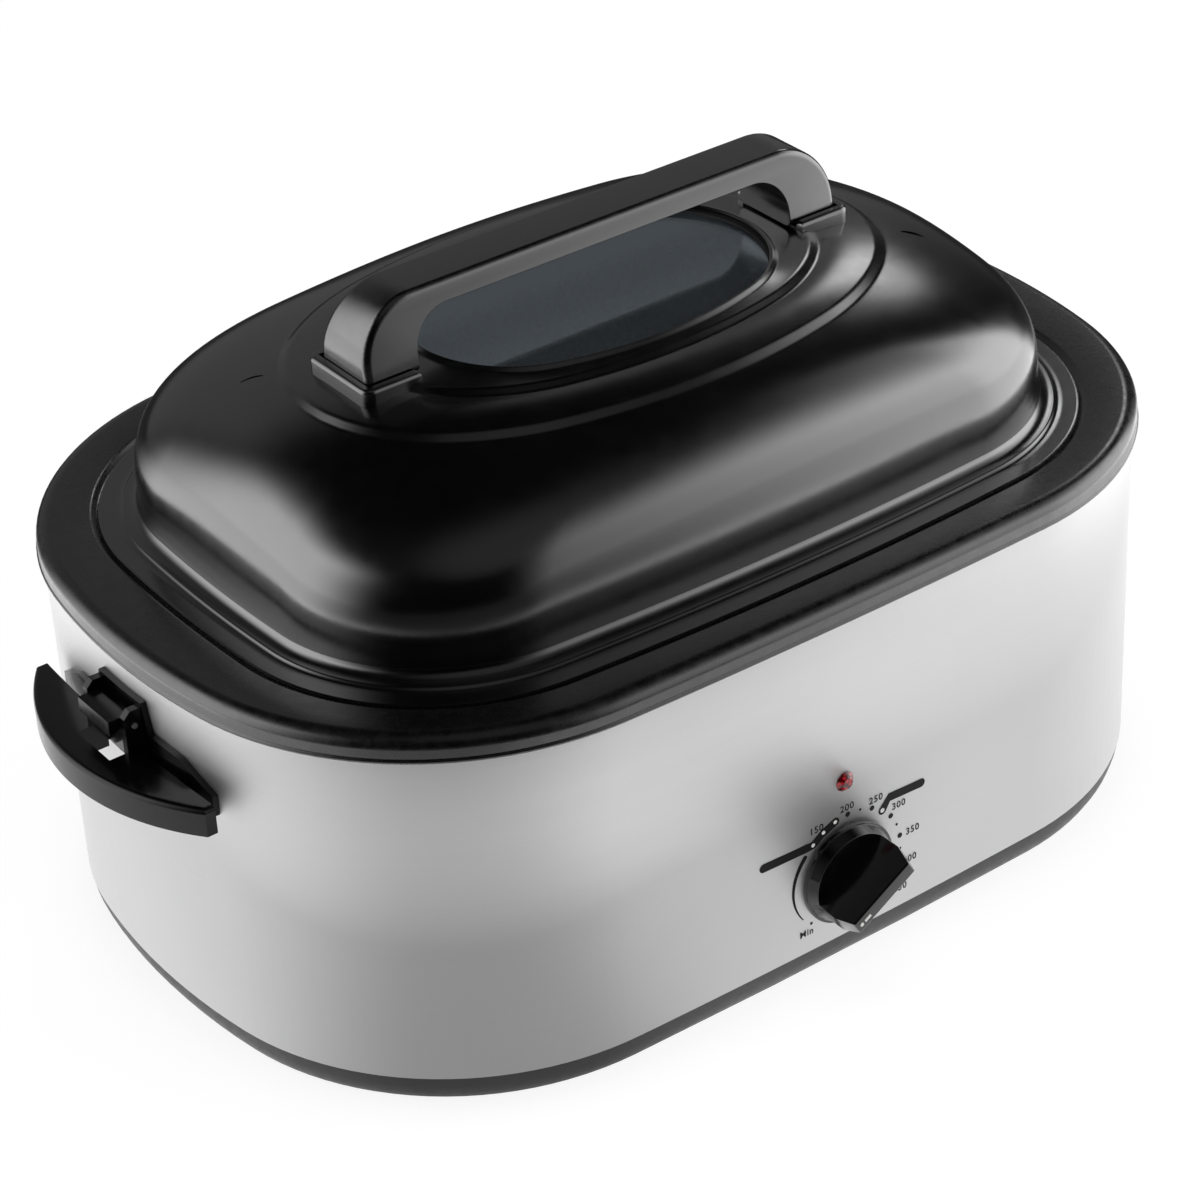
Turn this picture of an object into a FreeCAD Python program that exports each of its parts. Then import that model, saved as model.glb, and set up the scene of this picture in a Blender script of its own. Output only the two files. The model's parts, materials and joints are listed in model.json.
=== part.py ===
import FreeCAD, Part
import math
import os

# Electric roaster oven with a lift-off domed lid, a removable cookwell and a wrap-around heater.
# Millimetres. +X runs along the long front, -Y is the front with the control knob, +Z is up.
# The origin is the centre of the footprint, on the surface that the four feet stand on.

V = FreeCAD.Vector
PARTS = "parts"

# ---- clearances ----
seat_gap = 0.3            # between pieces that rest on each other
slip_gap = 0.4            # between pieces that pass each other
running_gap = 0.08        # round a shaft or pin in its bore
press_gap = 0.02          # round a pin or screw held fast in its hole
bite = 0.1                # how far joined forms of one moulding reach into each other
cut_over = 5.0            # how far a bore or slot is cut past the surface that it passes

# ---- plan outlines: eight tangent arcs each, with a corner radius and two arc angles ----
rim_half_length = 280.0
rim_half_width = 197.0
rim_corner_radius = 154.2
rim_end_angle = 9.7
rim_side_angle = 88.3
well_side_margin = 9.5    # the well's family of outlines starts this far outside the rim's sides
well_corner_radius = 152.5
well_end_angle = 3.6
well_side_angle = 86.2

# ---- base ----
foot_height = 2.5
foot_radius = 12.0
foot_taper = 1.5
foot_margin = 85.0        # from the rim's ends and sides to a foot's axis
foot_screw_radius = 1.8
foot_screw_head = 3.8
foot_screw_recess = 0.6
foot_screw_length = 9.0
boss_radius = 6.0
boss_height = 8.0
base_floor = 2.5          # thickness of the moulded floor
base_height = 19.8        # top of the black band
base_ledge = 0.5          # how far the band stands inside the steel
base_curve_width = 12.0   # the band curves in below as part of an ellipse
base_curve_spare = 1.3    # how far below the floor the ellipse ends
base_wall = 2.4
base_upstand = 8.0
base_inner_bend = 3.0
base_slot_x = 95.0        # middle of each group of air slots
base_slot_pitch = 14.0
base_slot_width = 5.0
base_slot_length = 90.0

# ---- outer shell ----
shell_inset = 3.1         # from the cookwell's lip to the steel
shell_sheet = 0.8
shell_corner = 5.0
shell_flange = 8.0

# ---- cookwell ----
rim_top = 217.0
well_sheet = 1.5
lip_depth = 13.5
lip_bead = 0.7            # how far the bead at the lip's lower edge stands out
lip_bead_height = 2.4
shoulder_width = 8.0      # the rolled shoulder, part of an ellipse
shoulder_height = 6.5
rim_fall = 1.4            # how far the rim slopes down to the seat
seat_drop = 3.7           # from the rim's top to the lid's seat
seat_step = 3.2
seat_inset = 36.9
seat_width = 9.5
seat_fall = 0.4
well_bend_width = 4.6
well_bend_height = 7.1
well_taper = 5.0
well_floor = 46.0
well_floor_bend = 20.0

# ---- heating chamber ----
chamber_gap = 5.5         # between the cookwell's wall and the chamber's
chamber_floor_gap = 8.5
liner_sheet = 0.8
liner_hem = 3.2           # how much of the chamber's edge lies under the shell's flange
liner_slope = 4.0
liner_shelf_gap = 3.1     # between the cookwell's seat and the chamber's shelf
liner_shelf_fall = 0.6
liner_bend = 5.0
liner_floor_bend = 12.0
blanket_thickness = 7.0
blanket_bottom_rise = 4.0
blanket_top_drop = 14.0   # from the seat
heater_sheet = 0.8
heater_height = 12.0
heater_rise = 26.0        # from the chamber's floor to the lower band
heater_spacing = 42.0
terminal_x = 60.0
terminal_spread = 12.0
terminal_radius = 3.5
terminal_margin = 10.0    # from a post's end to the shell
bracket_half_length = 60.0
bracket_crown = 26.0
bracket_run = 6.0
bracket_drop = 11.5
bracket_sheet = 1.5
bracket_width = 20.0
bolt_radius = 2.0
bolt_head_radius = 5.0
bolt_head = 1.6
bolt_nut_radius = 4.0
bolt_nut = 4.0
bolt_end = 2.0

# ---- lid ----
lid_sheet = 1.2
brim_inset = 37.5
brim_edge = 0.8
brim_edge_drop = 0.2
brim_width = 8.5
brim_rise = 1.65          # a small step between the brim and the dome's foot
brim_rise_width = 4.0
foot_fillet_width = 8.0   # the hollow between the brim and the dome's wall
foot_fillet_height = 5.4
dome_height = 77.9
dome_power = 4.0
dome_reach = 0.15
dome_rings = 8
window_half_length = 98.0
window_half_width = 65.0
window_corner_radius = 57.4
window_end_angle = 10.0
window_side_angle = 71.7
inner_step_ends = 30.0    # how far the inner step lies outside the window
inner_step_sides = 13.0
inner_step_corner = 104.7
inner_step_end_angle = 50.0
inner_step_side_angle = 76.9
step_ends = 37.0          # how far the outer step lies outside the inner one
step_sides = 25.0
step_corner = 143.0
step_end_angle = 50.0
step_side_angle = 76.6
riser_width = 4.5
outer_riser = 3.0
slope_rise = 3.8
inner_riser = 2.3
band_rise = 1.0           # of the flat band round the window
window_rim_width = 4.0
window_rim_slope = 2.8
window_rim_rise = 2.0
window_rim_edge = 0.8
vent_length = 8.8
vent_width = 1.4
vent_depth = 20.0
vent_left_out = 1.0       # from the outer step's end line
vent_left_y = 46.0
vent_right_out = 5.0
vent_right_y = -44.0

# ---- window ----
glass_overlap = 5.0
glass_thickness = 4.0
gasket_wall = 3.0
gasket_floor = 1.5
gasket_lip = 0.6          # the rubber between the glass and the lid
gasket_opening = 0.8      # how far the gasket shows inside the lid's opening
gasket_neck = 1.0         # the width of the part that joins the lip to the channel
lip_space = 0.8           # between the gasket and the lid at the window's rim, measured upright
retainer_sheet = 1.2
retainer_flange = 9.0
retainer_clear = 1.0
retainer_gap = 0.05
window_screw_radius = 1.6
window_screw_head = 3.2
window_screw_head_height = 2.0
window_stud = 14.0
window_screw_x = 61.0     # of the four screws between the ends and the middle
window_screw_y = 66.5

# ---- lid handle ----
handle_clear = 10.0       # from the window's rim to a leg
handle_leg = 29.7
handle_width = 42.0
handle_top_width = 29.0
handle_height = 40.0
handle_bar = 11.0
handle_outer_radius = 32.0
handle_inner_radius = 20.0
handle_edge_radius = 4.0
handle_stand = 0.9        # between a leg and the highest of the lid under it
pad_reach = 5.0           # how far a pad stands out past the leg
pad_height = 3.4          # how far its frame stands up beside the leg
pad_skirt = 14.0
pad_start = 3.0           # from the leg's inner face to the frame's ends
pad_corner = 6.0
pad_edge = 2.2
lid_screw_radius = 2.5
lid_screw_head = 4.5
lid_screw_head_height = 2.6
lid_screw_depth = 12.0
lid_screw_bore = 15.0
washer_radius = 7.0
washer_thickness = 1.2

# ---- side handles ----
crescent_inset = 1.5      # from the rim's end to the inner edge's corners
crescent_bow = 3.0        # of the inner edge
crescent_reach = 32.7
crescent_half_width = 79.0
crescent_tip = 5.5
crescent_drop = 53.4      # from the rim's top
crescent_depth = 15.0
crescent_plate = 4.0
crescent_wall = 3.0
crescent_edge_radius = 3.0
slot_half_width = 15.3
slot_depth = 17.0
cheek_width = 4.0
cheek_inset = 1.5
cheek_nose = 5.0
cheek_chamfer = 3.5
cheek_end_drop = 2.0
wall_pad_plate = 3.0
wall_pad_gap = 0.15
wall_pad_drop = 27.0
wall_pad_height = 40.0
wall_pad_half_width = 69.0
wall_pad_shoulder = 47.0
wall_pad_flare = 4.0
wall_pad_wing = 11.0
wall_pad_low_step = 22.0
wall_pad_high_step = 24.0
rib_length = 12.0
rib_drop = 5.0
handle_screw_y = 30.0
handle_screw_rise = 7.0
handle_screw_radius = 2.0
handle_screw_head = 4.0
handle_screw_head_height = 2.4
handle_screw_cover = 1.2

# ---- lid rest flap on each side handle ----
flap_pin_out = 4.0        # from the rim's end
flap_pin_drop = 37.3      # from the rim's top
flap_pin_radius = 1.5
flap_pin_end = 1.0
flap_barrel_radius = 2.8
flap_reach = 10.7
flap_rise = 3.6
flap_sheet = 2.4
flap_lip = 8.0
flap_lip_sheet = 2.0
flap_side_gap = 1.2
flap_web = 1.8
prong_length = 11.5
prong_width = 3.0
prong_thickness = 3.6
prong_y = 5.0

# ---- control ----
knob_rise = 38.9          # from the base's top to the knob's axis
knob_back_radius = 27.6
knob_ring = 2.2           # the plain ring behind the skirt
knob_skirt_radius = 26.6
knob_face_radius = 24.1
knob_skirt = 7.2
knob_stand_off = 1.0      # between the steel and the back of the skirt
knob_hollow_radius = 22.0
knob_hollow = 5.0
hub_radius = 7.0
grip_foot_width = 15.0
grip_crease_width = 12.6
grip_front_width = 8.0
grip_crease = 9.0
grip_height = 21.5
grip_front_length = 40.0
grip_edge_radius = 1.2
pointer_angle = 211.0     # from +X towards +Z, seen from the front
pointer_inset = 3.0
pointer_length = 4.2
pointer_width = 1.6
pointer_dot_radius = 1.1
pointer_depth = 0.35
shaft_radius = 3.0
shaft_grip = 16.0
shaft_flat = 1.0
shaft_tail = 2.5
shaft_bore_depth = 10.0
neck_radius = 5.0
neck_length = 6.5
nut_radius = 8.0
nut_thickness = 2.2
strap_half_length = 34.0
strap_half_height = 12.0
strap_sheet = 1.0
strap_gap = 0.2
control_length = 40.0
control_height = 34.0
control_depth = 15.0
tab_x = 8.0
tab_width = 6.0
tab_height = 12.0
tab_drop = 2.0
tab_sheet = 1.0
lamp_rise = 53.0          # from the knob's axis
lamp_radius = 5.5
lamp_front = 3.0
lamp_dome = 2.6
lamp_sides = 10
lamp_stem = 8.0
lamp_stem_inset = 1.0
lamp_body_length = 16.0
lamp_body_wall = 1.5
lamp_body_bore = 8.0

# ---- supply and sensing ----
gland_x = 96.0
gland_rise = 26.2         # from the base's top
gland_radius = 7.5
gland_bore = 3.5
gland_flange = 3.0
gland_flange_radius = 3.0
gland_barrel = 6.0
block_from_gland = 60.0
block_from_front = 62.0
block_length = 36.0
block_width = 16.0
block_height = 11.0
block_floor = 6.0
block_screw_radius = 2.0
block_screw_pitch = 8.0
lead_radius = 2.6
wire_radius = 2.0
wire_height = 7.0         # over the base's floor
wire_low = 5.0
wire_slack = 14.0
wire_turn_y = 90.0
wire_front_y = 120.0
wire_centre_x = 20.0
wire_control_x = 12.0
wire_bend = 12.0
bulb_radius = 4.0
bulb_length = 70.0
bulb_x = 40.0
bulb_y = 60.0
capillary_radius = 1.2
capillary_x = 14.0
capillary_turn_x = 30.0
capillary_turn_y = 100.0
capillary_rise = 15.0
capillary_low = 9.0
fuse_radius = 3.0
fuse_length = 26.0
fuse_x = 110.0
fuse_y = 40.0
fuse_lead_radius = 0.8
fuse_lead_length = 12.0


class Oval:
    """A plan outline of eight tangent arcs: two ends, two sides and four corners."""

    def __init__(self, half_length, half_width, corner, end_angle, side_angle):
        self.a = half_length
        self.b = half_width
        self.corner = corner
        self.end_angle = end_angle
        self.side_angle = side_angle

    def inset(self, d):
        return Oval(self.a - d, self.b - d, self.corner - d, self.end_angle, self.side_angle)

    def blend(self, other, t):
        def mix(p, q):
            return p + (q - p) * t
        return Oval(mix(self.a, other.a), mix(self.b, other.b), mix(self.corner, other.corner),
                    mix(self.end_angle, other.end_angle), mix(self.side_angle, other.side_angle))

    def arcs(self, z):
        """The eight arcs at height z, anticlockwise from the middle of the +X end."""
        end = math.radians(self.end_angle)
        side = math.radians(self.side_angle)
        # Tangency gives two linear equations for the end and side radii past the corner radius.
        m11 = 1 - math.cos(end)
        m12 = math.cos(side)
        m21 = math.sin(end)
        m22 = 1 - math.sin(side)
        along = self.a - self.corner
        across = self.b - self.corner
        det = m11 * m22 - m12 * m21
        end_extra = (along * m22 - m12 * across) / det
        side_extra = (m11 * across - m21 * along) / det
        end_r = end_extra + self.corner
        side_r = side_extra + self.corner
        end_x = self.a - end_r
        side_y = self.b - side_r
        cx = side_extra * math.cos(side)
        cy = end_extra * math.sin(end)

        def on_end(t):
            return (end_x + end_r * math.cos(t), end_r * math.sin(t))

        def on_corner(t):
            return (cx + self.corner * math.cos(t), cy + self.corner * math.sin(t))

        def on_side(t):
            return (side_r * math.cos(t), side_y + side_r * math.sin(t))

        corner_a = (on_corner(end), on_corner((end + side) / 2), on_corner(side))
        corner_b = mirrored(corner_a, -1, 1)
        corner_c = mirrored(corner_a, -1, -1)
        corner_d = mirrored(corner_a, 1, -1)
        middle = on_side(math.pi / 2)
        top = (corner_a[2], middle, corner_b[0])
        left = (corner_b[2], (-on_end(0)[0], 0.0), corner_c[0])
        bottom = (corner_c[2], (0.0, -middle[1]), corner_d[0])
        right = (corner_d[2], on_end(0), corner_a[0])
        ordered = (right, corner_a, top, corner_b, left, corner_c, bottom, corner_d)
        return [arc(points, z) for points in ordered]

    def wire(self, z):
        return Part.Wire(self.arcs(z))

    def face(self, z):
        return Part.Face(self.wire(z))

    def prism(self, low, high):
        return self.face(low).extrude(V(0, 0, high - low))

    def end_x(self, y):
        """How far the outline reaches in X at this distance from the long axis."""
        line = Part.makeLine(V(0, y, 0), V(2 * self.a, y, 0))
        return line.common(self.face(0)).BoundBox.XMax

    def side_y(self, x):
        """How far the outline reaches in Y at this distance from the middle."""
        line = Part.makeLine(V(x, 0, 0), V(x, 2 * self.b, 0))
        return line.common(self.face(0)).BoundBox.YMax


def mirrored(points, sx, sy):
    """Mirrors a corner's three points, and keeps the anticlockwise order."""
    flipped = [(sx * x, sy * y) for x, y in points]
    return tuple(flipped if sx * sy > 0 else reversed(flipped))


def arc(points, z):
    start, middle, end = (V(x, y, z) for x, y in points)
    return Part.Arc(start, middle, end).toShape()


def band(low, high):
    """Ruled faces between two rings, each an oval with its height."""
    pairs = zip(low[0].arcs(low[1]), high[0].arcs(high[1]))
    return [Part.makeRuledSurface(first, second) for first, second in pairs]


def ring_solid(rings, closed):
    """A solid whose section passes through the rings; open sections end in flat floors."""
    faces = []
    for low, high in zip(rings, rings[1:]):
        faces += band(low, high)
    if closed:
        faces += band(rings[-1], rings[0])
    else:
        faces += [rings[0][0].face(rings[0][1]), rings[-1][0].face(rings[-1][1])]
    shell = Part.Shell(faces)
    shell.sewShape()
    solid = Part.Solid(shell)
    if solid.Volume < 0:
        solid.reverse()
    return solid


def offset_rings(rings, thickness):
    """The rings moved to the left of their path by the sheet's thickness, mitred at each bend."""
    moved = []
    for i, (oval, z) in enumerate(rings):
        before = rings[max(i - 1, 0)]
        after = rings[min(i + 1, len(rings) - 1)]
        first = unit(oval.a - before[0].a, z - before[1])
        second = unit(after[0].a - oval.a, after[1] - z)
        first = first or second
        second = second or first
        n1 = (-first[1], first[0])
        n2 = (-second[1], second[0])
        scale = thickness / (1 + n1[0] * n2[0] + n1[1] * n2[1])
        dx = (n1[0] + n2[0]) * scale
        dz = (n1[1] + n2[1]) * scale
        moved.append((oval.inset(-dx), z + dz))
    return moved


def unit(dx, dz):
    length = math.hypot(dx, dz)
    if length < 1e-9:
        return None
    return (dx / length, dz / length)


def sheet_ring(rings, thickness):
    """Bent sheet round an opening: the rings and their offset, closed at both edges."""
    return ring_solid(rings + offset_rings(rings, thickness)[::-1], True)


def sheet_pan(rings, thickness):
    """Bent sheet with a floor: the rings run from the edge down to the floor."""
    back = offset_rings(rings, thickness)
    back[-1] = (back[-1][0], rings[-1][1] - thickness)
    return ring_solid([rings[-1]] + rings[-2::-1] + back, False)


def outward_bend(oval, z, width, height, steps=3):
    """A rounded shoulder from an upright wall below, up and in to a level top at the height z."""
    turns = [math.pi / 2 * i / steps for i in range(steps + 1)]
    return [(oval.inset(width * (1 - math.cos(t))), z - height * (1 - math.sin(t))) for t in turns]


def inward_bend(oval, z, width, height, steps=3):
    """A rounded edge from a level top at the height z, in and down to an upright wall."""
    turns = [math.pi / 2 * i / steps for i in range(steps + 1)]
    return [(oval.inset(width * math.sin(t)), z - height * (1 - math.cos(t))) for t in turns]


def floor_bend(oval, z, radius, steps=3):
    """A hollow bend from an upright wall down to a floor at the height z."""
    turns = [math.pi / 2 * i / steps for i in range(steps + 1)]
    return [(oval.inset(radius * (1 - math.cos(t))), z + radius * (1 - math.sin(t))) for t in turns]


def plate(points, normal, thickness):
    """A flat plate: its corners, the direction it is thick in, and how thick it is."""
    wire = Part.makePolygon([V(*p) for p in points] + [V(*points[0])])
    return Part.Face(wire).extrude(V(*normal) * thickness)


def box(low, high):
    size = [h - l for l, h in zip(low, high)]
    return Part.makeBox(size[0], size[1], size[2], V(*low))


def cylinder(radius, start, direction, length):
    return Part.makeCylinder(radius, length, V(*start), V(*direction))


def tube_run(points, radius):
    """A round wire through the points, with a ball at each bend whose axis follows the run before it."""
    pieces = []
    for start, end in zip(points, points[1:]):
        step = V(*end) - V(*start)
        pieces.append(Part.makeCylinder(radius, step.Length, V(*start), step))
        pieces.append(Part.makeSphere(radius, V(*end), step))
    return pieces[0].multiFuse(pieces[1:-1])


def round_edges(solid, radius, keep):
    """Rounds the edges that the test picks."""
    edges = [edge for edge in solid.Edges if keep(edge)]
    return solid.makeFillet(radius, edges)


def upright(edge):
    return edge.BoundBox.ZLength > cut_over and edge.BoundBox.XLength + edge.BoundBox.YLength < bite


def right_and_left(solid):
    return {"right": solid, "left": solid.mirror(V(0, 0, 0), V(1, 0, 0))}


# ---- outlines and levels that several pieces share ----

rim = Oval(rim_half_length, rim_half_width, rim_corner_radius, rim_end_angle, rim_side_angle)
well = Oval(rim_half_length, rim_half_width + well_side_margin, well_corner_radius,
            well_end_angle, well_side_angle)
window = Oval(window_half_length, window_half_width, window_corner_radius,
              window_end_angle, window_side_angle)
inner_step = Oval(window.a + inner_step_ends, window.b + inner_step_sides, inner_step_corner,
                  inner_step_end_angle, inner_step_side_angle)
outer_step = Oval(inner_step.a + step_ends, inner_step.b + step_sides, step_corner,
                  step_end_angle, step_side_angle)

front_y = rim_half_width - shell_inset        # the steel's outer face, front and back
inside_y = front_y - shell_sheet
floor_top = foot_height + base_floor
shell_top = rim_top - well_sheet - 2 * seat_gap
seat_z = rim_top - seat_drop
well_wall_inset = seat_inset + seat_width + well_bend_width
liner_inset = well_wall_inset - well_sheet - chamber_gap
liner_floor = well_floor - well_sheet - chamber_floor_gap
under_liner = liner_floor - liner_sheet - seat_gap
heater_levels = (liner_floor + heater_rise, liner_floor + heater_rise + heater_spacing)

brim_z = seat_z + lid_sheet + 1.5 * seat_gap
foot_inset = brim_inset + brim_width + brim_rise_width
step_z = brim_z + brim_rise + dome_height
inner_step_z = step_z + outer_riser + slope_rise
window_foot_z = inner_step_z + inner_riser + band_rise
window_z = window_foot_z + window_rim_rise

knob_z = base_height + knob_rise
lamp_z = knob_z + lamp_rise
gland_z = base_height + gland_rise
strap_y = rim.inset(shell_inset + shell_sheet).side_y(strap_half_length) - strap_gap
control_face_y = strap_y - strap_sheet - seat_gap
neck_end_y = control_face_y - bite + neck_length
knob_back_y = front_y + knob_stand_off
knob_face_y = knob_back_y + knob_skirt


# ---- base ----

def make_base_tray():
    top = base_height
    inner = shell_inset + shell_sheet + slip_gap
    ledge = rim.inset(shell_inset + base_ledge)
    depth = base_height - foot_height
    ellipse = depth + base_curve_spare
    last = math.asin(depth / ellipse)
    steps = 4
    turns = [last * i / steps for i in range(steps, -1, -1)]
    curve = [(ledge.inset(base_curve_width * (1 - math.cos(t))), top - ellipse * math.sin(t)) for t in turns]
    bottom = curve[0][0].inset(base_wall)
    rings = curve + [
        (rim.inset(inner), top),
        (rim.inset(inner), top + base_upstand),
        (rim.inset(inner + base_wall), top + base_upstand),
        (rim.inset(inner + base_wall), top - base_wall),
        (bottom, floor_top + base_inner_bend),
        (bottom.inset(base_inner_bend), floor_top),
    ]
    tray = ring_solid(rings, False)
    up = (0, 0, 1)
    bosses = [cylinder(boss_radius, (x, y, floor_top - bite), up, boss_height) for x, y in foot_spots()]
    tray = tray.multiFuse(bosses)
    through = floor_top + boss_height + 2 * cut_over
    cuts = [cylinder(foot_screw_radius + slip_gap, (x, y, -cut_over), up, through) for x, y in foot_spots()]
    cuts.append(cylinder(bolt_radius + slip_gap, (0, 0, -cut_over), up, through))
    for row in range(-3, 4):
        for side in (-1, 1):
            x = side * base_slot_x + row * base_slot_pitch
            low = (x - base_slot_width / 2, -base_slot_length / 2, -cut_over)
            cuts.append(box(low, (x + base_slot_width / 2, base_slot_length / 2, floor_top + cut_over)))
    return tray.cut(Part.makeCompound(cuts))


def foot_spots():
    x = rim_half_length - foot_margin
    y = rim_half_width - foot_margin
    return [(sx * x, sy * y) for sx in (-1, 1) for sy in (-1, 1)]


def make_foot(x, y):
    pad = Part.makeCone(foot_radius - foot_taper, foot_radius, foot_height, V(x, y, 0))
    recess = cylinder(foot_screw_head + slip_gap, (x, y, -cut_over), (0, 0, 1), foot_height + 2 * cut_over)
    return pad.cut(recess)


def make_foot_screws():
    up = (0, 0, 1)
    screws = []
    for x, y in foot_spots():
        head = cylinder(foot_screw_head, (x, y, foot_screw_recess), up, foot_height - foot_screw_recess)
        shank = cylinder(foot_screw_radius, (x, y, foot_height - bite), up, foot_screw_length)
        screws.append(head.fuse(shank))
    return Part.makeCompound(screws)


# ---- outer shell ----

def make_outer_shell():
    wall = rim.inset(shell_inset)
    rings = [(wall, base_height + seat_gap)]
    rings += outward_bend(wall, shell_top, shell_corner, shell_corner)
    rings.append((wall.inset(shell_flange), shell_top))
    shell = sheet_ring(rings, shell_sheet)
    back = (0, 1, 0)
    reach = shell_sheet + 2 * cut_over
    cuts = [
        cylinder(neck_radius + slip_gap, (0, -front_y - cut_over, knob_z), back, reach),
        cylinder(lamp_radius - lamp_stem_inset + slip_gap, (0, -front_y - cut_over, lamp_z), back, reach),
        cylinder(gland_radius + bite, (gland_x, inside_y - cut_over, gland_z), back, reach),
    ]
    for side in (-1, 1):
        for y in (-handle_screw_y, handle_screw_y):
            start = (side * (wall.end_x(y) - cut_over), y, handle_screw_z())
            cuts.append(cylinder(handle_screw_radius + seat_gap, start, (side, 0, 0), 2 * cut_over))
    return shell.cut(Part.makeCompound(cuts))


# ---- heating chamber ----

def make_liner():
    edge_z = shell_top - shell_sheet - seat_gap
    shelf_z = seat_z - well_sheet - liner_shelf_gap
    wall_z = shelf_z - liner_shelf_fall
    wall = well.inset(liner_inset)
    rings = [
        (rim.inset(shell_inset + shell_flange - liner_hem), edge_z),
        (rim.inset(shell_inset + shell_flange), edge_z),
        (rim.inset(shell_inset + shell_flange + liner_slope), shelf_z),
    ]
    rings += inward_bend(wall.inset(-liner_bend), wall_z, liner_bend, liner_bend)
    rings += floor_bend(wall, liner_floor, liner_floor_bend)
    return sheet_pan(rings, liner_sheet)


def wrap(inner_inset, thickness, low, high):
    """A band round the heating chamber."""
    outside = well.inset(inner_inset - thickness).prism(low, high)
    return outside.cut(well.inset(inner_inset).prism(low - cut_over, high + cut_over))


def heater_inset():
    return liner_inset - liner_sheet - seat_gap


def make_heater(level):
    return wrap(heater_inset(), heater_sheet, level, level + heater_height)


def make_blanket():
    inner = heater_inset() - heater_sheet - 2 * seat_gap
    blanket = wrap(inner, blanket_thickness, liner_floor + blanket_bottom_rise, seat_z - blanket_top_drop)
    y = well.inset(inner).b - cut_over
    reach = blanket_thickness + 2 * cut_over
    holes = [cylinder(terminal_radius + slip_gap, (x, y, z), (0, 1, 0), reach) for x, z in terminal_spots()]
    return blanket.cut(Part.makeCompound(holes))


def make_heater_terminals():
    """Ceramic posts through the blanket, a pair on each heater band."""
    outside = well.inset(heater_inset() - heater_sheet)
    posts = []
    for x, z in terminal_spots():
        start = outside.side_y(x - terminal_radius) + seat_gap
        posts.append(cylinder(terminal_radius, (x, start, z), (0, 1, 0), inside_y - terminal_margin - start))
    return Part.makeCompound(posts)


def terminal_spots():
    middles = [level + heater_height / 2 for level in heater_levels]
    return [(terminal_x + side * terminal_spread, z) for z in middles for side in (-1, 1)]


def make_liner_bracket():
    """A hat-shaped strip under the chamber that the centre bolt pulls against."""
    top = under_liner
    low = top - bracket_sheet
    foot = bracket_half_length
    shoulder = bracket_crown + bracket_run
    mitre = bracket_sheet * 2 / 3
    right = [(bracket_crown, low - bracket_drop), (shoulder, low), (foot, low), (foot, top),
             (shoulder - mitre, top), (bracket_crown - mitre, top - bracket_drop)]
    outline = right + [(-x, z) for x, z in reversed(right)]
    strip = plate([(x, -bracket_width / 2, z) for x, z in outline], (0, 1, 0), bracket_width)
    hole = cylinder(bolt_radius + slip_gap, (0, 0, low - bracket_drop - cut_over), (0, 0, 1), 2 * cut_over)
    return strip.cut(hole)


def make_centre_bolt():
    underside = foot_height - seat_gap / 3
    nut_z = under_liner - bracket_drop
    up = (0, 0, 1)
    head = cylinder(bolt_head_radius, (0, 0, underside - bolt_head), up, bolt_head)
    shank = cylinder(bolt_radius, (0, 0, underside - bite), up, nut_z + bolt_nut + bolt_end - underside)
    nut = cylinder(bolt_nut_radius, (0, 0, nut_z), up, bolt_nut)
    return head.multiFuse([shank, nut])


# ---- control ----

def make_control_body():
    face = -control_face_y
    back = face + control_depth
    body = box((-control_length / 2, face, knob_z - control_height / 2),
               (control_length / 2, back, knob_z + control_height / 2))
    neck = cylinder(neck_radius, (0, face + bite, knob_z), (0, -1, 0), neck_length)
    bore = cylinder(shaft_radius + running_gap, (0, face + shaft_bore_depth, knob_z), (0, -1, 0),
                    shaft_bore_depth + neck_length + cut_over)
    tabs = []
    for x in (-tab_x - tab_width, tab_x):
        low = (x, back - bite, knob_z - tab_drop - tab_height)
        tabs.append(box(low, (x + tab_width, back + tab_sheet, knob_z - tab_drop)))
    return body.multiFuse([neck] + tabs).cut(bore)


def make_control_bracket():
    y = -strap_y
    strap = box((-strap_half_length, y, knob_z - strap_half_height),
                (strap_half_length, y + strap_sheet, knob_z + strap_half_height))
    hole = cylinder(neck_radius + strap_gap, (0, y - cut_over, knob_z), (0, 1, 0), 2 * cut_over + strap_sheet)
    return strap.cut(hole)


def make_control_nut():
    y = -front_y - seat_gap
    nut = cylinder(nut_radius, (0, y, knob_z), (0, -1, 0), nut_thickness)
    return nut.cut(cylinder(neck_radius, (0, y + cut_over, knob_z), (0, -1, 0), nut_thickness + 2 * cut_over))


def make_sensor():
    """The thermostat's bulb clipped under the chamber floor, with its capillary."""
    z = under_liner - bulb_radius
    back = -control_face_y + control_depth
    bulb = cylinder(bulb_radius, (bulb_x, -bulb_y, z), (1, 0, 0), bulb_length)
    run = [
        (capillary_x, back - tab_sheet, knob_z - control_height / 2 - seat_gap),
        (capillary_x, back - tab_sheet, floor_top + capillary_rise),
        (capillary_turn_x, -capillary_turn_y, floor_top + capillary_low),
        (bulb_x - tab_sheet, -bulb_y, z),
        (bulb_x + bulb_radius, -bulb_y, z),
    ]
    return bulb.fuse(tube_run(run, capillary_radius))


def make_thermal_fuse():
    z = under_liner - fuse_radius
    body = cylinder(fuse_radius, (-fuse_x, fuse_y, z), (1, 0, 0), fuse_length)
    lead = cylinder(fuse_lead_radius, (-fuse_x - fuse_lead_length, fuse_y, z), (1, 0, 0),
                    fuse_length + 2 * fuse_lead_length)
    return body.fuse(lead)


def block_corner():
    return (gland_x - block_from_gland, front_y - block_from_front, floor_top + seat_gap)


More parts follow.
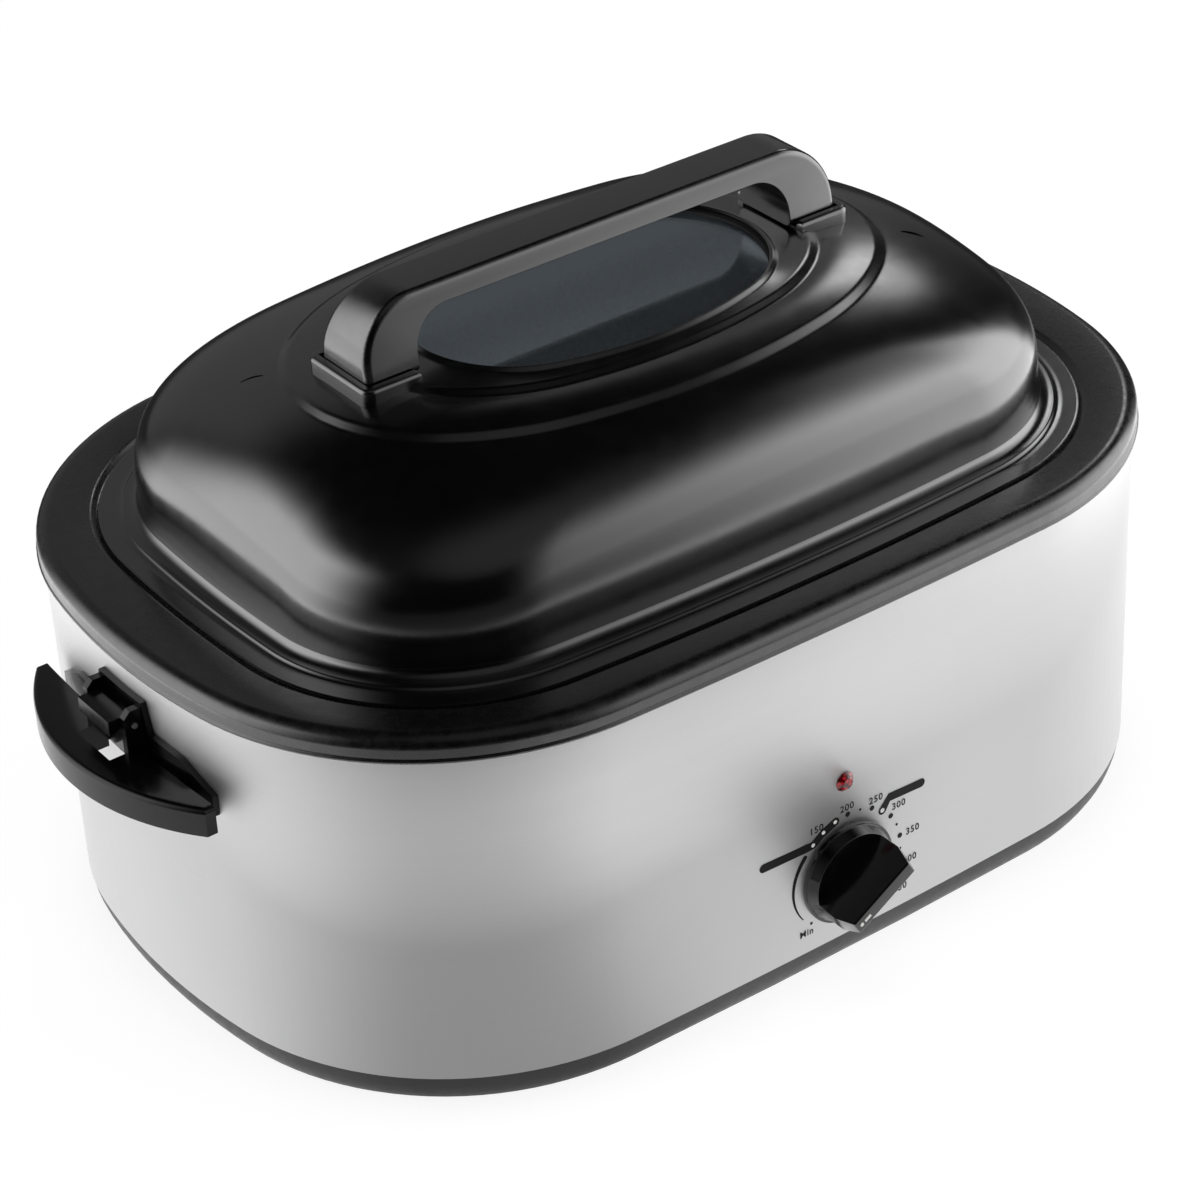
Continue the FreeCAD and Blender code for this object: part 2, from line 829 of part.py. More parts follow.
def make_terminal_block():
    x, y, z = block_corner()
    block = box((x, y, z), (x + block_length, y + block_width, z + block_height))
    first = x + (block_length - 3 * block_screw_pitch) / 2
    middle_y = y + block_width / 2
    holes = [cylinder(block_screw_radius, (first + i * block_screw_pitch, middle_y, z + block_floor),
                      (0, 0, 1), block_height) for i in range(4)]
    return block.cut(Part.makeCompound(holes))


def make_wiring():
    """The lead from the gland to the block, and the wire from the block to the thermostat."""
    x, y, z = block_corner()
    middle_y = y + block_width / 2
    level = floor_top + wire_height
    inner = inside_y - wire_bend
    supply = [
        (gland_x, front_y, gland_z),
        (gland_x, inner, gland_z),
        (gland_x, inner - wire_slack, level + wire_slack),
        (gland_x - wire_slack, middle_y, level),
        (x + block_length + seat_gap, middle_y, level),
    ]
    rear = -control_face_y + control_depth - tab_drop - wire_radius
    to_control = [
        (x - seat_gap, middle_y, level),
        (x - wire_slack, middle_y, level),
        (-wire_centre_x, wire_turn_y, floor_top + wire_low),
        (-wire_centre_x, -wire_front_y, floor_top + wire_low),
        (-wire_control_x, rear, floor_top + wire_slack),
        (-wire_control_x, rear, knob_z - control_height / 2 - seat_gap),
    ]
    return Part.makeCompound([tube_run(supply, lead_radius), tube_run(to_control, wire_radius)])


def make_gland():
    back = (0, 1, 0)
    outside = front_y + seat_gap
    inner = front_y - gland_barrel
    flange = cylinder(gland_radius + gland_flange_radius, (gland_x, outside, gland_z), back, gland_flange)
    barrel = cylinder(gland_radius, (gland_x, inner, gland_z), back, outside + bite - inner)
    length = outside + gland_flange - inner + 2 * cut_over
    bore = cylinder(gland_bore, (gland_x, inner - cut_over, gland_z), back, length)
    return flange.fuse(barrel).cut(bore)


def make_lamp_lens():
    """A faceted red lens: a many-sided frustum on a round stem."""
    y = -front_y - bite

    def polygon(radius, at):
        turns = [2 * math.pi * i / lamp_sides for i in range(lamp_sides + 1)]
        return Part.makePolygon([V(radius * math.cos(t), at, lamp_z + radius * math.sin(t)) for t in turns])

    frustum = Part.makeLoft([polygon(lamp_radius, y), polygon(lamp_front, y - lamp_dome)], True, True)
    stem = cylinder(lamp_radius - lamp_stem_inset, (0, y - bite, lamp_z), (0, 1, 0), lamp_stem)
    return frustum.fuse(stem)


def make_lamp_body():
    start = -inside_y + slip_gap
    body = cylinder(lamp_radius + lamp_body_wall, (0, start, lamp_z), (0, 1, 0), lamp_body_length)
    bore = cylinder(lamp_radius - lamp_stem_inset + slip_gap, (0, start - cut_over, lamp_z), (0, 1, 0),
                    lamp_body_bore + cut_over)
    return body.cut(bore)


def make_knob():
    """A ring, a tapered skirt and a bar grip with creased sides; hollow behind and bored for the shaft."""
    back = -knob_back_y
    face = -knob_face_y
    forward = (0, -1, 0)
    ring = cylinder(knob_back_radius, (0, back, knob_z), forward, knob_ring)
    skirt = Part.makeCone(knob_skirt_radius, knob_face_radius, knob_skirt - knob_ring + bite,
                          V(0, back - knob_ring + bite, knob_z), V(0, -1, 0))
    hollow = cylinder(knob_hollow_radius, (0, back + cut_over, knob_z), forward, knob_hollow + cut_over)
    hub_start = -neck_end_y - slip_gap
    hub = cylinder(hub_radius, (0, hub_start, knob_z), forward, hub_start - face)
    bore = cylinder(shaft_radius, (0, back + cut_over, knob_z), forward, shaft_grip + cut_over)
    return ring.fuse(skirt).cut(hollow).multiFuse([knob_grip(), hub]).cut(bore)


def knob_grip():
    """The bar: its side profile runs out to the face's edge, its section has a crease half way."""
    face = -knob_face_y
    base_half = knob_face_radius
    front_half = grip_front_length / 2
    side = [(-base_half, 0), (base_half, 0), (base_half, grip_crease), (front_half, grip_height),
            (-front_half, grip_height), (-base_half, grip_crease)]
    profile = plate([(u, face - v + bite, -base_half) for u, v in side], (0, 0, 1), 2 * base_half)
    half = [(grip_foot_width / 2, 0), (grip_crease_width / 2, grip_crease),
            (grip_front_width / 2, grip_height)]
    section = half + [(-w, v) for w, v in reversed(half)]
    bar = plate([(-base_half, face - v + bite, w) for w, v in section], (1, 0, 0), 2 * base_half)
    grip = bar.common(profile)
    grip = grip.common(cylinder(base_half, (0, face + cut_over, 0), (0, -1, 0), grip_height + 2 * cut_over))
    front = face - grip_height + bite
    grip = round_edges(grip, grip_edge_radius, lambda edge: edge.BoundBox.YMax < front + bite)
    grip.rotate(V(0, 0, 0), V(0, 1, 0), -pointer_angle)
    grip.translate(V(0, 0, knob_z))
    return grip


def make_shaft():
    start = -control_face_y + shaft_tail
    end = -knob_back_y - shaft_grip
    rod = cylinder(shaft_radius - press_gap, (0, start, knob_z), (0, -1, 0), start - end)
    flat = box((-shaft_radius, end - cut_over, knob_z + shaft_radius - shaft_flat),
               (shaft_radius, end + shaft_bore_depth, knob_z + 2 * shaft_radius))
    return rod.cut(flat)


def make_knob_pointer():
    """A white dot and a short bar let into the pointing end of the grip's front face."""
    face = -knob_face_y - grip_height + bite
    far = grip_front_length / 2 - pointer_inset
    dot = cylinder(pointer_dot_radius, (far, face, 0), (0, -1, 0), pointer_depth)
    start = far - 2 * pointer_dot_radius - pointer_length
    half = pointer_width / 2
    mark = box((start, face - pointer_depth, -half), (start + pointer_length, face, half))
    pointer = Part.makeCompound([dot, mark])
    pointer.rotate(V(0, 0, 0), V(0, 1, 0), -pointer_angle)
    pointer.translate(V(0, 0, knob_z))
    return pointer


# ---- cookwell ----

def make_cookwell():
    """The removable pan: a beaded lip, a rolled rim, the lid's seat, the wall and the floor."""
    lip_z = rim_top - lip_depth
    lip = rim.inset(lip_bead)
    foot = well.inset(well_wall_inset + well_taper)
    rings = [
        (lip, lip_z),
        (rim, lip_z + lip_bead),
        (rim, lip_z + lip_bead_height - lip_bead),
        (lip, lip_z + lip_bead_height),
    ]
    rings += outward_bend(lip, rim_top, shoulder_width, shoulder_height)
    rings += [
        (well.inset(seat_inset - seat_step), rim_top - rim_fall),
        (well.inset(seat_inset), seat_z),
    ]
    rings += inward_bend(well.inset(seat_inset + seat_width), seat_z - seat_fall, well_bend_width,
                         well_bend_height, 2)
    rings += floor_bend(foot, well_floor, well_floor_bend)
    return sheet_pan(rings, well_sheet)


# ---- lid ----

def dome_ring(t):
    """One ring of the dome, from the top of its foot at t = 0 to the outer step at t = 1."""
    def rise(u):
        return (1 - (1 - dome_reach * u) ** dome_power) ** (1 / dome_power)
    u = t ** 2
    wall = well.inset(foot_inset + foot_fillet_width)
    low = brim_z + brim_rise + foot_fillet_height
    z = low + (step_z - low) * rise(u) / rise(1.0)
    return (wall.blend(outer_step, u), z)


def slope_ring(t):
    """The raised centre between the outer riser and the inner step."""
    oval = outer_step.inset(riser_width).blend(inner_step, t)
    return (oval, step_z + outer_riser + slope_rise * math.sin(t * math.pi / 2))


def fillet_ring(t):
    """The hollow at the dome's foot, from level to nearly upright."""
    oval = well.inset(foot_inset + foot_fillet_width * math.sin(t))
    return (oval, brim_z + brim_rise + foot_fillet_height * (1 - math.cos(t)))


def top_rings():
    """The raised centre of the lid, from the outer step to the window's edge."""
    return [
        dome_ring(1.0),
        slope_ring(0.0),
        slope_ring(0.35),
        slope_ring(0.7),
        (inner_step, inner_step_z),
        (inner_step.inset(riser_width), inner_step_z + inner_riser),
        (window.inset(-window_rim_width), window_foot_z),
        (window.inset(window_rim_slope - window_rim_width), window_z),
        (window, window_z - window_rim_edge),
    ]


def lid_rings():
    rings = [
        (well.inset(brim_inset), brim_z - brim_edge_drop),
        (well.inset(brim_inset + brim_edge), brim_z),
        (well.inset(brim_inset + brim_width), brim_z),
        (well.inset(foot_inset - brim_rise), brim_z + brim_rise / 4),
    ]
    rings += [fillet_ring(math.pi / 2 * i / 3) for i in range(3)]
    rings += [dome_ring(i / dome_rings) for i in range(dome_rings)]
    return rings + top_rings()


def lid_height(x):
    """The height of the lid's raised centre at this place on its long axis."""
    rings = top_rings()
    for (outer, low), (inner, high) in zip(rings, rings[1:]):
        if inner.a <= x <= outer.a:
            return low + (high - low) * (outer.a - x) / (outer.a - inner.a)
    return step_z


def vent_spots():
    return [(-outer_step.a - vent_left_out, vent_left_y), (outer_step.a + vent_right_out, vent_right_y)]


def make_lid_shell():
    lid = sheet_ring(lid_rings(), lid_sheet)
    cuts = []
    for x, y in vent_spots():
        slit = box((-vent_length / 2, -vent_width / 2, step_z - vent_depth),
                   (vent_length / 2, vent_width / 2, step_z + vent_depth))
        outward = math.atan2(y / outer_step.b ** 2, x / outer_step.a ** 2)
        slit.rotate(V(0, 0, 0), V(0, 0, 1), math.degrees(outward))
        slit.translate(V(x, y, 0))
        cuts.append(slit)
    for side in (-1, 1):
        start = (side * lid_screw_x, 0, step_z - vent_depth)
        cuts.append(cylinder(lid_screw_radius + seat_gap, start, (0, 0, 1), 2 * vent_depth))
    return lid.cut(Part.makeCompound(cuts))


# ---- window ----

lip_top = window_foot_z - lid_sheet - lip_space
glass_top = lip_top - gasket_lip
gasket_bottom = glass_top - glass_thickness - gasket_floor
retainer_top = gasket_bottom - retainer_gap


def make_glass():
    return window.inset(-glass_overlap).prism(glass_top - glass_thickness, glass_top)


def make_gasket():
    """A channel round the edge of the glass, with a thin lip on top of it."""
    outer = window.inset(-glass_overlap - gasket_wall).prism(gasket_bottom, glass_top - gasket_lip)
    lip = window.inset(-glass_overlap - gasket_neck).prism(glass_top - gasket_lip - bite, lip_top)
    groove = window.inset(-glass_overlap).prism(glass_top - glass_thickness, glass_top)
    opening = window.inset(gasket_opening).prism(gasket_bottom - cut_over, lip_top + cut_over)
    return outer.fuse(lip).cut(groove).cut(opening)


def make_retainer():
    low = retainer_top - retainer_sheet
    outside = window.inset(-glass_overlap - gasket_wall - retainer_flange).prism(low, retainer_top)
    ring = outside.cut(window.inset(-retainer_clear).prism(low - cut_over, retainer_top + cut_over))
    holes = [cylinder(window_screw_radius + slip_gap, (x, y, low - cut_over), (0, 0, 1),
                      retainer_sheet + 2 * cut_over) for x, y in screw_spots()]
    return ring.cut(Part.makeCompound(holes))


def screw_spots():
    out = glass_overlap + gasket_wall + retainer_flange / 2
    spots = [(0, window.b + out), (0, -window.b - out), (window.a + out, 0), (-window.a - out, 0)]
    return spots + [(sx * window_screw_x, sy * window_screw_y) for sx in (-1, 1) for sy in (-1, 1)]


def make_window_screws():
    low = retainer_top - retainer_sheet
    screws = []
    for x, y in screw_spots():
        head_z = low - window_screw_head_height
        head = cylinder(window_screw_head, (x, y, head_z), (0, 0, 1), window_screw_head_height)
        shank = cylinder(window_screw_radius, (x, y, low - bite), (0, 0, 1), window_stud)
        screws.append(head.fuse(shank))
    return Part.makeCompound(screws).cut(under_lid_cutter())


def under_lid_cutter():
    """Everything above the lid's underside, to end the studs on it."""
    inner = offset_rings(lid_rings(), lid_sheet)[-len(top_rings()):]
    low = [(oval, z - seat_gap / 3) for oval, z in inner]
    top_z = window_z + vent_depth
    rings = [(low[0][0], top_z)] + low + [(low[-1][0], top_z)]
    return ring_solid(rings, True)


# ---- lid handle ----

handle_inner_half = window.a + window_rim_width + handle_clear
handle_half_length = handle_inner_half + handle_leg
handle_bottom = lid_height(handle_inner_half) + handle_stand
handle_top = handle_bottom + handle_height
lid_screw_x = handle_inner_half + handle_leg / 2


def handle_outline():
    """The side profile in X and Z: two legs and a bar with rounded corners."""
    a = handle_half_length
    b = handle_inner_half
    r = handle_outer_radius
    q = handle_inner_radius
    low = handle_bottom
    top = handle_top
    under = handle_top - handle_bar
    s = math.sqrt(0.5)

    def line(x1, z1, x2, z2):
        return Part.makeLine(V(x1, 0, z1), V(x2, 0, z2))

    def bend(x1, z1, x2, z2, x3, z3):
        return Part.Arc(V(x1, 0, z1), V(x2, 0, z2), V(x3, 0, z3)).toShape()

    return Part.Wire([
        line(-a, low, -a, top - r),
        bend(-a, top - r, -a + r * (1 - s), top - r * (1 - s), -a + r, top),
        line(-a + r, top, a - r, top),
        bend(a - r, top, a - r * (1 - s), top - r * (1 - s), a, top - r),
        line(a, top - r, a, low),
        line(a, low, b, low),
        line(b, low, b, under - q),
        bend(b, under - q, b - q * (1 - s), under - q * (1 - s), b - q, under),
        line(b - q, under, -b + q, under),
        bend(-b + q, under, -b + q * (1 - s), under - q * (1 - s), -b, under - q),
        line(-b, under - q, -b, low),
        line(-b, low, -a, low),
    ])


def make_lid_handle():
    half = handle_width / 2
    block = Part.Face(handle_outline())
    block.translate(V(0, -half, 0))
    block = block.extrude(V(0, handle_width, 0))
    top_half = handle_top_width / 2
    reach = handle_half_length + cut_over
    section = [(-reach, -half, handle_bottom), (-reach, half, handle_bottom),
               (-reach, top_half, handle_top), (-reach, -top_half, handle_top)]
    block = block.common(plate(section, (1, 0, 0), 2 * reach))

    def outer_edge(edge):
        bounds = edge.BoundBox
        off_centre = min(abs(bounds.YMin), abs(bounds.YMax)) > top_half / 2
        along = bounds.YLength < half - top_half + bite
        outside = max(bounds.XMax, -bounds.XMin) > handle_half_length - bite
        return off_centre and along and (outside or bounds.ZMin > handle_top - bite)

    block = round_edges(block, handle_edge_radius, outer_edge)
    for side in (-1, 1):
        start = (side * lid_screw_x, 0, handle_bottom - cut_over)
        block = block.cut(cylinder(lid_screw_radius, start, (0, 0, 1), lid_screw_bore + cut_over))
    return block


def lid_cover_block(height):
    """The space above the lid's raised centre, under a plane."""
    rings = top_rings()
    return ring_solid([(rings[0][0], height)] + rings + [(rings[-1][0], height)], True)


def make_handle_pad():
    """The right pad: it fills the space under the leg, and a rounded bar frames the leg on three sides."""
    half = handle_width / 2
    low = handle_bottom - pad_skirt
    top = handle_bottom + pad_height
    start = handle_inner_half + pad_start
    block = box((start, -half - pad_reach, low), (handle_half_length + pad_reach, half + pad_reach, top))
    block = round_edges(block, pad_corner, lambda edge: upright(edge) and edge.BoundBox.XMin > lid_screw_x)
    block = round_edges(block, pad_edge, lambda edge: edge.BoundBox.ZMin > top - bite)
    leg = box((start - cut_over, -half - slip_gap, handle_bottom - seat_gap),
              (handle_half_length + slip_gap, half + slip_gap, top + cut_over))
    block = block.cut(leg).common(lid_cover_block(top + cut_over))
    bottom = low - cut_over
    return block.cut(cylinder(lid_screw_radius + seat_gap, (lid_screw_x, 0, bottom), (0, 0, 1), top - bottom))


def washer_z():
    """The washers' lower face: their upper one lies just under the lid."""
    under = min(lid_height(lid_screw_x + washer_radius), lid_height(lid_screw_x - washer_radius)) - lid_sheet
    return under - 2 * seat_gap - washer_thickness


def make_lid_screws():
    """Each handle screw enters from inside the lid."""
    z = washer_z()
    screws = []
    for x in (-lid_screw_x, lid_screw_x):
        length = handle_bottom + lid_screw_depth - z
        head = cylinder(lid_screw_head, (x, 0, z - lid_screw_head_height), (0, 0, 1), lid_screw_head_height)
        shank = cylinder(lid_screw_radius - bite, (x, 0, z - bite), (0, 0, 1), length)
        screws.append(head.fuse(shank))
    return Part.makeCompound(screws)


def make_lid_washers():
    z = washer_z()
    washers = []
    for x in (-lid_screw_x, lid_screw_x):
        washer = cylinder(washer_radius, (x, 0, z), (0, 0, 1), washer_thickness)
        hole = cylinder(lid_screw_radius + bite, (x, 0, z - cut_over), (0, 0, 1), 2 * cut_over)
        washers.append(washer.cut(hole))
    return Part.makeCompound(washers)


# ---- side handles ----

crescent_inner = rim_half_length - crescent_inset
crescent_outer = crescent_inner + crescent_reach
crescent_top = rim_top - crescent_drop
wall_pad_top = rim_top - wall_pad_drop
wall_pad_bottom = wall_pad_top - wall_pad_height
wall_pad_inset = shell_inset - wall_pad_gap       # of its inner face
slot_start = rim_half_length - wall_pad_inset + wall_pad_plate + bite
flap_pin_x = rim_half_length + flap_pin_out
flap_pin_z = rim_top - flap_pin_drop
flap_outer_x = flap_pin_x + flap_reach
flap_top_z = flap_pin_z + flap_rise


def handle_screw_z():
    return rim_top - wall_pad_drop - wall_pad_height + handle_screw_rise


def crescent(inset, low, high):
    """The handle's plan shape: a shallow arc along the body and a deep one outwards."""
    x1 = crescent_inner + inset
    x2 = crescent_inner + crescent_tip
    y = crescent_half_width - inset
    outer = crescent_outer - inset
    edges = [
        Part.makeLine(V(x1, -y, low), V(x2, -y, low)),
        Part.Arc(V(x2, -y, low), V(outer, 0, low), V(x2, y, low)).toShape(),
        Part.makeLine(V(x2, y, low), V(x1, y, low)),
        Part.Arc(V(x1, y, low), V(x1 + crescent_bow, 0, low), V(x1, -y, low)).toShape(),
    ]
    return Part.Face(Part.Wire(edges)).extrude(V(0, 0, high - low))


def wall_pad():
    """The plate that hugs the steel, with low wings and a tall middle."""
    low = wall_pad_bottom
    top = wall_pad_top
    inner = rim.inset(wall_pad_inset)
    hug = inner.inset(-wall_pad_plate).prism(low, top).cut(inner.prism(low - cut_over, top + cut_over))
    middle = slot_half_width + cheek_width
    half = [(wall_pad_half_width, low), (wall_pad_half_width, low + wall_pad_wing),
            (wall_pad_shoulder, low + wall_pad_low_step), (middle + wall_pad_flare, low + wall_pad_high_step),
            (middle, top)]
    profile = half + [(-y, z) for y, z in reversed(half)]
    back_x = crescent_inner - rim_corner_radius / 3
    return hug.common(plate([(back_x, y, z) for y, z in profile], (1, 0, 0), rim_corner_radius))


def cheek(y):
    """One upright beside the slot, which carries the flap's pin and ties the crescent to the pad."""
    wall_x = rim_half_length - shell_inset + cheek_inset
    top = wall_pad_top - cheek_end_drop
    bottom = wall_pad_bottom + cheek_end_drop
    nose = flap_pin_x + cheek_nose
    end = slot_start + slot_depth + crescent_wall
    profile = [(wall_x, bottom), (wall_x, top), (nose - cheek_chamfer, top), (nose, top - cheek_chamfer),
               (nose, crescent_top - bite), (end, crescent_top - crescent_plate / 2),
               (end, crescent_top - crescent_depth + cheek_end_drop), (flap_pin_x, bottom)]
    return plate([(x, y, z) for x, z in profile], (0, 1, 0), cheek_width)


def make_side_handle():
    low = crescent_top - crescent_depth
    body = crescent(0.0, low, crescent_top)
    body = round_edges(body, crescent_edge_radius, lambda edge: edge.BoundBox.ZMin > crescent_top - bite
                       and edge.BoundBox.XMax > crescent_inner + crescent_bow + bite)
    pocket = crescent(crescent_wall, low - cut_over, crescent_top - crescent_plate)
    keep = box((crescent_inner - cut_over, -slot_half_width - crescent_wall, low - 2 * cut_over),
               (slot_start + slot_depth + crescent_wall, slot_half_width + crescent_wall, crescent_top))
    body = body.cut(pocket.cut(keep))
    against = rim.inset(wall_pad_inset).prism(low - cut_over, crescent_top)
    ribs = []
    for y in (-wall_pad_shoulder, wall_pad_shoulder - cheek_width):
        rib = box((crescent_inner - rib_length, y, low + bite),
                  (crescent_inner + crescent_wall, y + cheek_width, crescent_top - rib_drop))
        ribs.append(rib.cut(against))
    pieces = [wall_pad(), cheek(-slot_half_width - cheek_width), cheek(slot_half_width)] + ribs
    body = body.multiFuse(pieces)
    slot = box((slot_start, -slot_half_width, low - cut_over),
               (slot_start + slot_depth, slot_half_width, crescent_top + cut_over))
    across = 2 * (slot_half_width + cheek_width + cut_over)
    pin_hole = cylinder(flap_pin_radius, (flap_pin_x, -across / 2, flap_pin_z), (0, 1, 0), across)
    screw_start = rim_half_length - cut_over * 2
    screw_end = slot_start + crescent_wall
    length = screw_end - screw_start
    holes = [cylinder(handle_screw_radius, (screw_start, y, handle_screw_z()), (1, 0, 0), length)
             for y in (-handle_screw_y, handle_screw_y)]
    return body.cut(Part.makeCompound([slot, pin_hole, against] + holes)).removeSplitter()


def make_handle_screws():
    wall = rim.inset(shell_inset)
    z = handle_screw_z()
    screws = []
    for y in (-handle_screw_y, handle_screw_y):
        inner_x = wall.end_x(abs(y) + handle_screw_head) - shell_sheet - seat_gap
        head_x = inner_x - handle_screw_head_height
        head = cylinder(handle_screw_head, (head_x, y, z), (1, 0, 0), handle_screw_head_height)
        length = rim_half_length - handle_screw_cover - inner_x
        shank = cylinder(handle_screw_radius - press_gap, (inner_x - bite, y, z), (1, 0, 0), length + bite)
        screws.append(head.fuse(shank))
    return Part.makeCompound(screws)


def make_flap_pin():
    length = 2 * (slot_half_width + cheek_width + flap_pin_end)
    return cylinder(flap_pin_radius - press_gap, (flap_pin_x, -length / 2, flap_pin_z), (0, 1, 0), length)


def make_flap():
    """The lid rest: a plate on a barrel, with a lip and two prongs over the slot."""
    half = slot_half_width - flap_side_gap
    outer = flap_outer_x
    top = flap_top_z
    inner_lip = outer - flap_lip_sheet
    barrel = cylinder(flap_barrel_radius, (flap_pin_x, -half, flap_pin_z), (0, 1, 0), 2 * half)
    top_plate = box((flap_pin_x, -half, top - flap_sheet), (outer, half, top))
    lip = box((inner_lip, -half, top - flap_lip), (outer, half, top - bite))
    end = inner_lip + bite
    prongs = [box((end - prong_thickness, y - prong_width / 2, top - prong_length),
                  (end, y + prong_width / 2, top - flap_sheet / 2)) for y in (-prong_y, prong_y)]
    corners = [(flap_pin_x, flap_pin_z), (end, top - flap_sheet / 2), (end, top - flap_lip)]
    webs = [plate([(x, y, z) for x, z in corners], (0, 1, 0), flap_web) for y in (-half, half - flap_web)]
    flap = barrel.multiFuse([top_plate, lip] + prongs + webs)
    bore = cylinder(flap_pin_radius + running_gap, (flap_pin_x, -half - cut_over, flap_pin_z), (0, 1, 0),
                    2 * (half + cut_over))
    return flap.cut(bore).removeSplitter()


def build():
    nodes = {
        "base_tray": make_base_tray(),
        "foot_screws": make_foot_screws(),
        "outer_shell": make_outer_shell(),
        "liner": make_liner(),
        "insulation_blanket": make_blanket(),
        "heater_terminals": make_heater_terminals(),
        "liner_bracket": make_liner_bracket(),
        "centre_bolt": make_centre_bolt(),
        "thermostat": make_control_body(),
        "thermostat_bracket": make_control_bracket(),
        "thermostat_nut": make_control_nut(),
        "thermostat_sensor": make_sensor(),
        "thermal_fuse": make_thermal_fuse(),
        "terminal_block": make_terminal_block(),
        "wiring": make_wiring(),
        "cord_gland": make_gland(),
        "lamp_lens": make_lamp_lens(),
        "lamp_body": make_lamp_body(),
        "knob": make_knob(),
        "knob_shaft": make_shaft(),
        "knob_pointer": make_knob_pointer(),
        "cookwell": make_cookwell(),
        "lid_shell": make_lid_shell(),
        "window_glass": make_glass(),
        "window_gasket": make_gasket(),
        "window_retainer": make_retainer(),
        "window_screws": make_window_screws(),
        "lid_handle": make_lid_handle(),
        "lid_handle_screws": make_lid_screws(),
        "lid_handle_washers": make_lid_washers(),
    }
    for i, (x, y) in enumerate(foot_spots()):
        nodes["foot_%d" % (i + 1)] = make_foot(x, y)
    for name, level in zip(("heater_band_lower", "heater_band_upper"), heater_levels):
        nodes[name] = make_heater(level)
    paired = {
        "handle_pad": make_handle_pad(),
        "side_handle": make_side_handle(),
        "side_handle_screws": make_handle_screws(),
        "lid_rest_pin": make_flap_pin(),
        "lid_rest": make_flap(),
    }
    for name, solid in paired.items():
        for side, shape in right_and_left(solid).items():
            nodes[name + "_" + side] = shape
    return nodes


os.makedirs(PARTS, exist_ok=True)
for node_name, shape in sorted(build().items()):
    shape.exportStep(os.path.join(PARTS, node_name + ".step"))
    print(node_name, len(shape.Solids), round(shape.Volume, 1), shape.isValid())
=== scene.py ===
import json
import math
from collections import namedtuple

import bmesh
import bpy
from mathutils import Matrix, Vector

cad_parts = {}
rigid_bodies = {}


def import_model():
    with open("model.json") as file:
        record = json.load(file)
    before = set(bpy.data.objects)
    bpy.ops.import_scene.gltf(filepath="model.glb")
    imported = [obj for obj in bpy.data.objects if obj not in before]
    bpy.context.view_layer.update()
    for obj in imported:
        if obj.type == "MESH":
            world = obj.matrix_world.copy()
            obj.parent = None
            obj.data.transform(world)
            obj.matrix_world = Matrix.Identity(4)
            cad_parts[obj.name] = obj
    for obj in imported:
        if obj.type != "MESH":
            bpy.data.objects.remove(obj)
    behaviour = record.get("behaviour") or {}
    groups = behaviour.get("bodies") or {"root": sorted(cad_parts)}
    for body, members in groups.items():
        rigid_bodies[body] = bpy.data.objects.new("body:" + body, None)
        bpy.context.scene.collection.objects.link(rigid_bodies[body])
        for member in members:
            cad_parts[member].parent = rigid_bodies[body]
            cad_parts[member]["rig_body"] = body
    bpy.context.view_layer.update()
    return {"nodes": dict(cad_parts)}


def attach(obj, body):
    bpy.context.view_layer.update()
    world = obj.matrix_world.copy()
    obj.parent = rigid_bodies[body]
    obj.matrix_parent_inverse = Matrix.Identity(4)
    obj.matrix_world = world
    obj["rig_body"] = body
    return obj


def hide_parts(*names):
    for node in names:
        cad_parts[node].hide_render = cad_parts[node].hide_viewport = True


# The roaster oven's looks: its pressed skins, its finishes, the dial's print, the studio and the camera.

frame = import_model()

MM = 0.001
NODES = frame["nodes"]

# ---- sizes in millimetres, as in the part's source ----
RIM = (280.0, 197.0, 154.2, 9.7, 88.3)      # half length, half width, corner radius, arc angles
WELL = (280.0, 206.5, 152.5, 3.6, 86.2)
STEP = (165.0, 103.0, 143.0, 50.0, 76.6)
INNER_STEP = (128.0, 78.0, 104.7, 50.0, 76.9)
WINDOW = (98.0, 65.0, 57.4, 10.0, 71.7)

LID_SHEET = 1.2
BRIM_Z = 214.95
BRIM_INSET = 37.5                            # from the well's outline to the brim's edge
BRIM_EDGE = 0.8
BRIM_EDGE_DROP = 0.2
BRIM_WIDTH = 8.5
BRIM_RISE = 1.65                             # a small step between the brim and the dome's foot
FOOT_INSET = 50.0                            # from the well's outline to the dome's foot
FILLET_WIDTH = 8.0                           # the hollow at the dome's foot
FILLET_HEIGHT = 5.4
DOME_POWER = 4.0
DOME_REACH = 0.15
STEP_Z = 294.5
RISER_WIDTH = 4.5
OUTER_RISER = 3.0
INNER_STEP_Z = 301.3
INNER_RISER = 2.3
WINDOW_FOOT_Z = 304.6
WINDOW_Z = 306.6
WINDOW_RIM_WIDTH = 4.0
WINDOW_RIM_TOP = 1.2                         # how wide the rim's top is
WINDOW_RIM_EDGE = 0.8

WELL_SHEET = 1.5
SEAT_Z = 213.3
SEAT_INSET = 36.9
SEAT_STEP = 3.2
SEAT_WIDTH = 9.5
SEAT_FALL = 0.4
RIM_TOP = 217.0
RIM_FALL = 1.4                               # how far the rim slopes down to the seat
LIP_BOTTOM = 203.5
BEAD = 0.7
BEAD_HEIGHT = 2.4
SHOULDER_WIDTH = 8.0
SHOULDER_HEIGHT = 6.5
WELL_BEND_WIDTH = 4.6
WELL_BEND_HEIGHT = 7.1
WELL_TAPER = 5.0
WELL_FLOOR = 46.0
WELL_FLOOR_BEND = 20.0

SHELL_INSET = 3.1
SHELL_SHEET = 0.8
SHELL_BOTTOM = 20.1
SHELL_TOP = 214.9
SHELL_CORNER = 5.0
SHELL_FLANGE = 8.0

KNOB_Z = 58.7

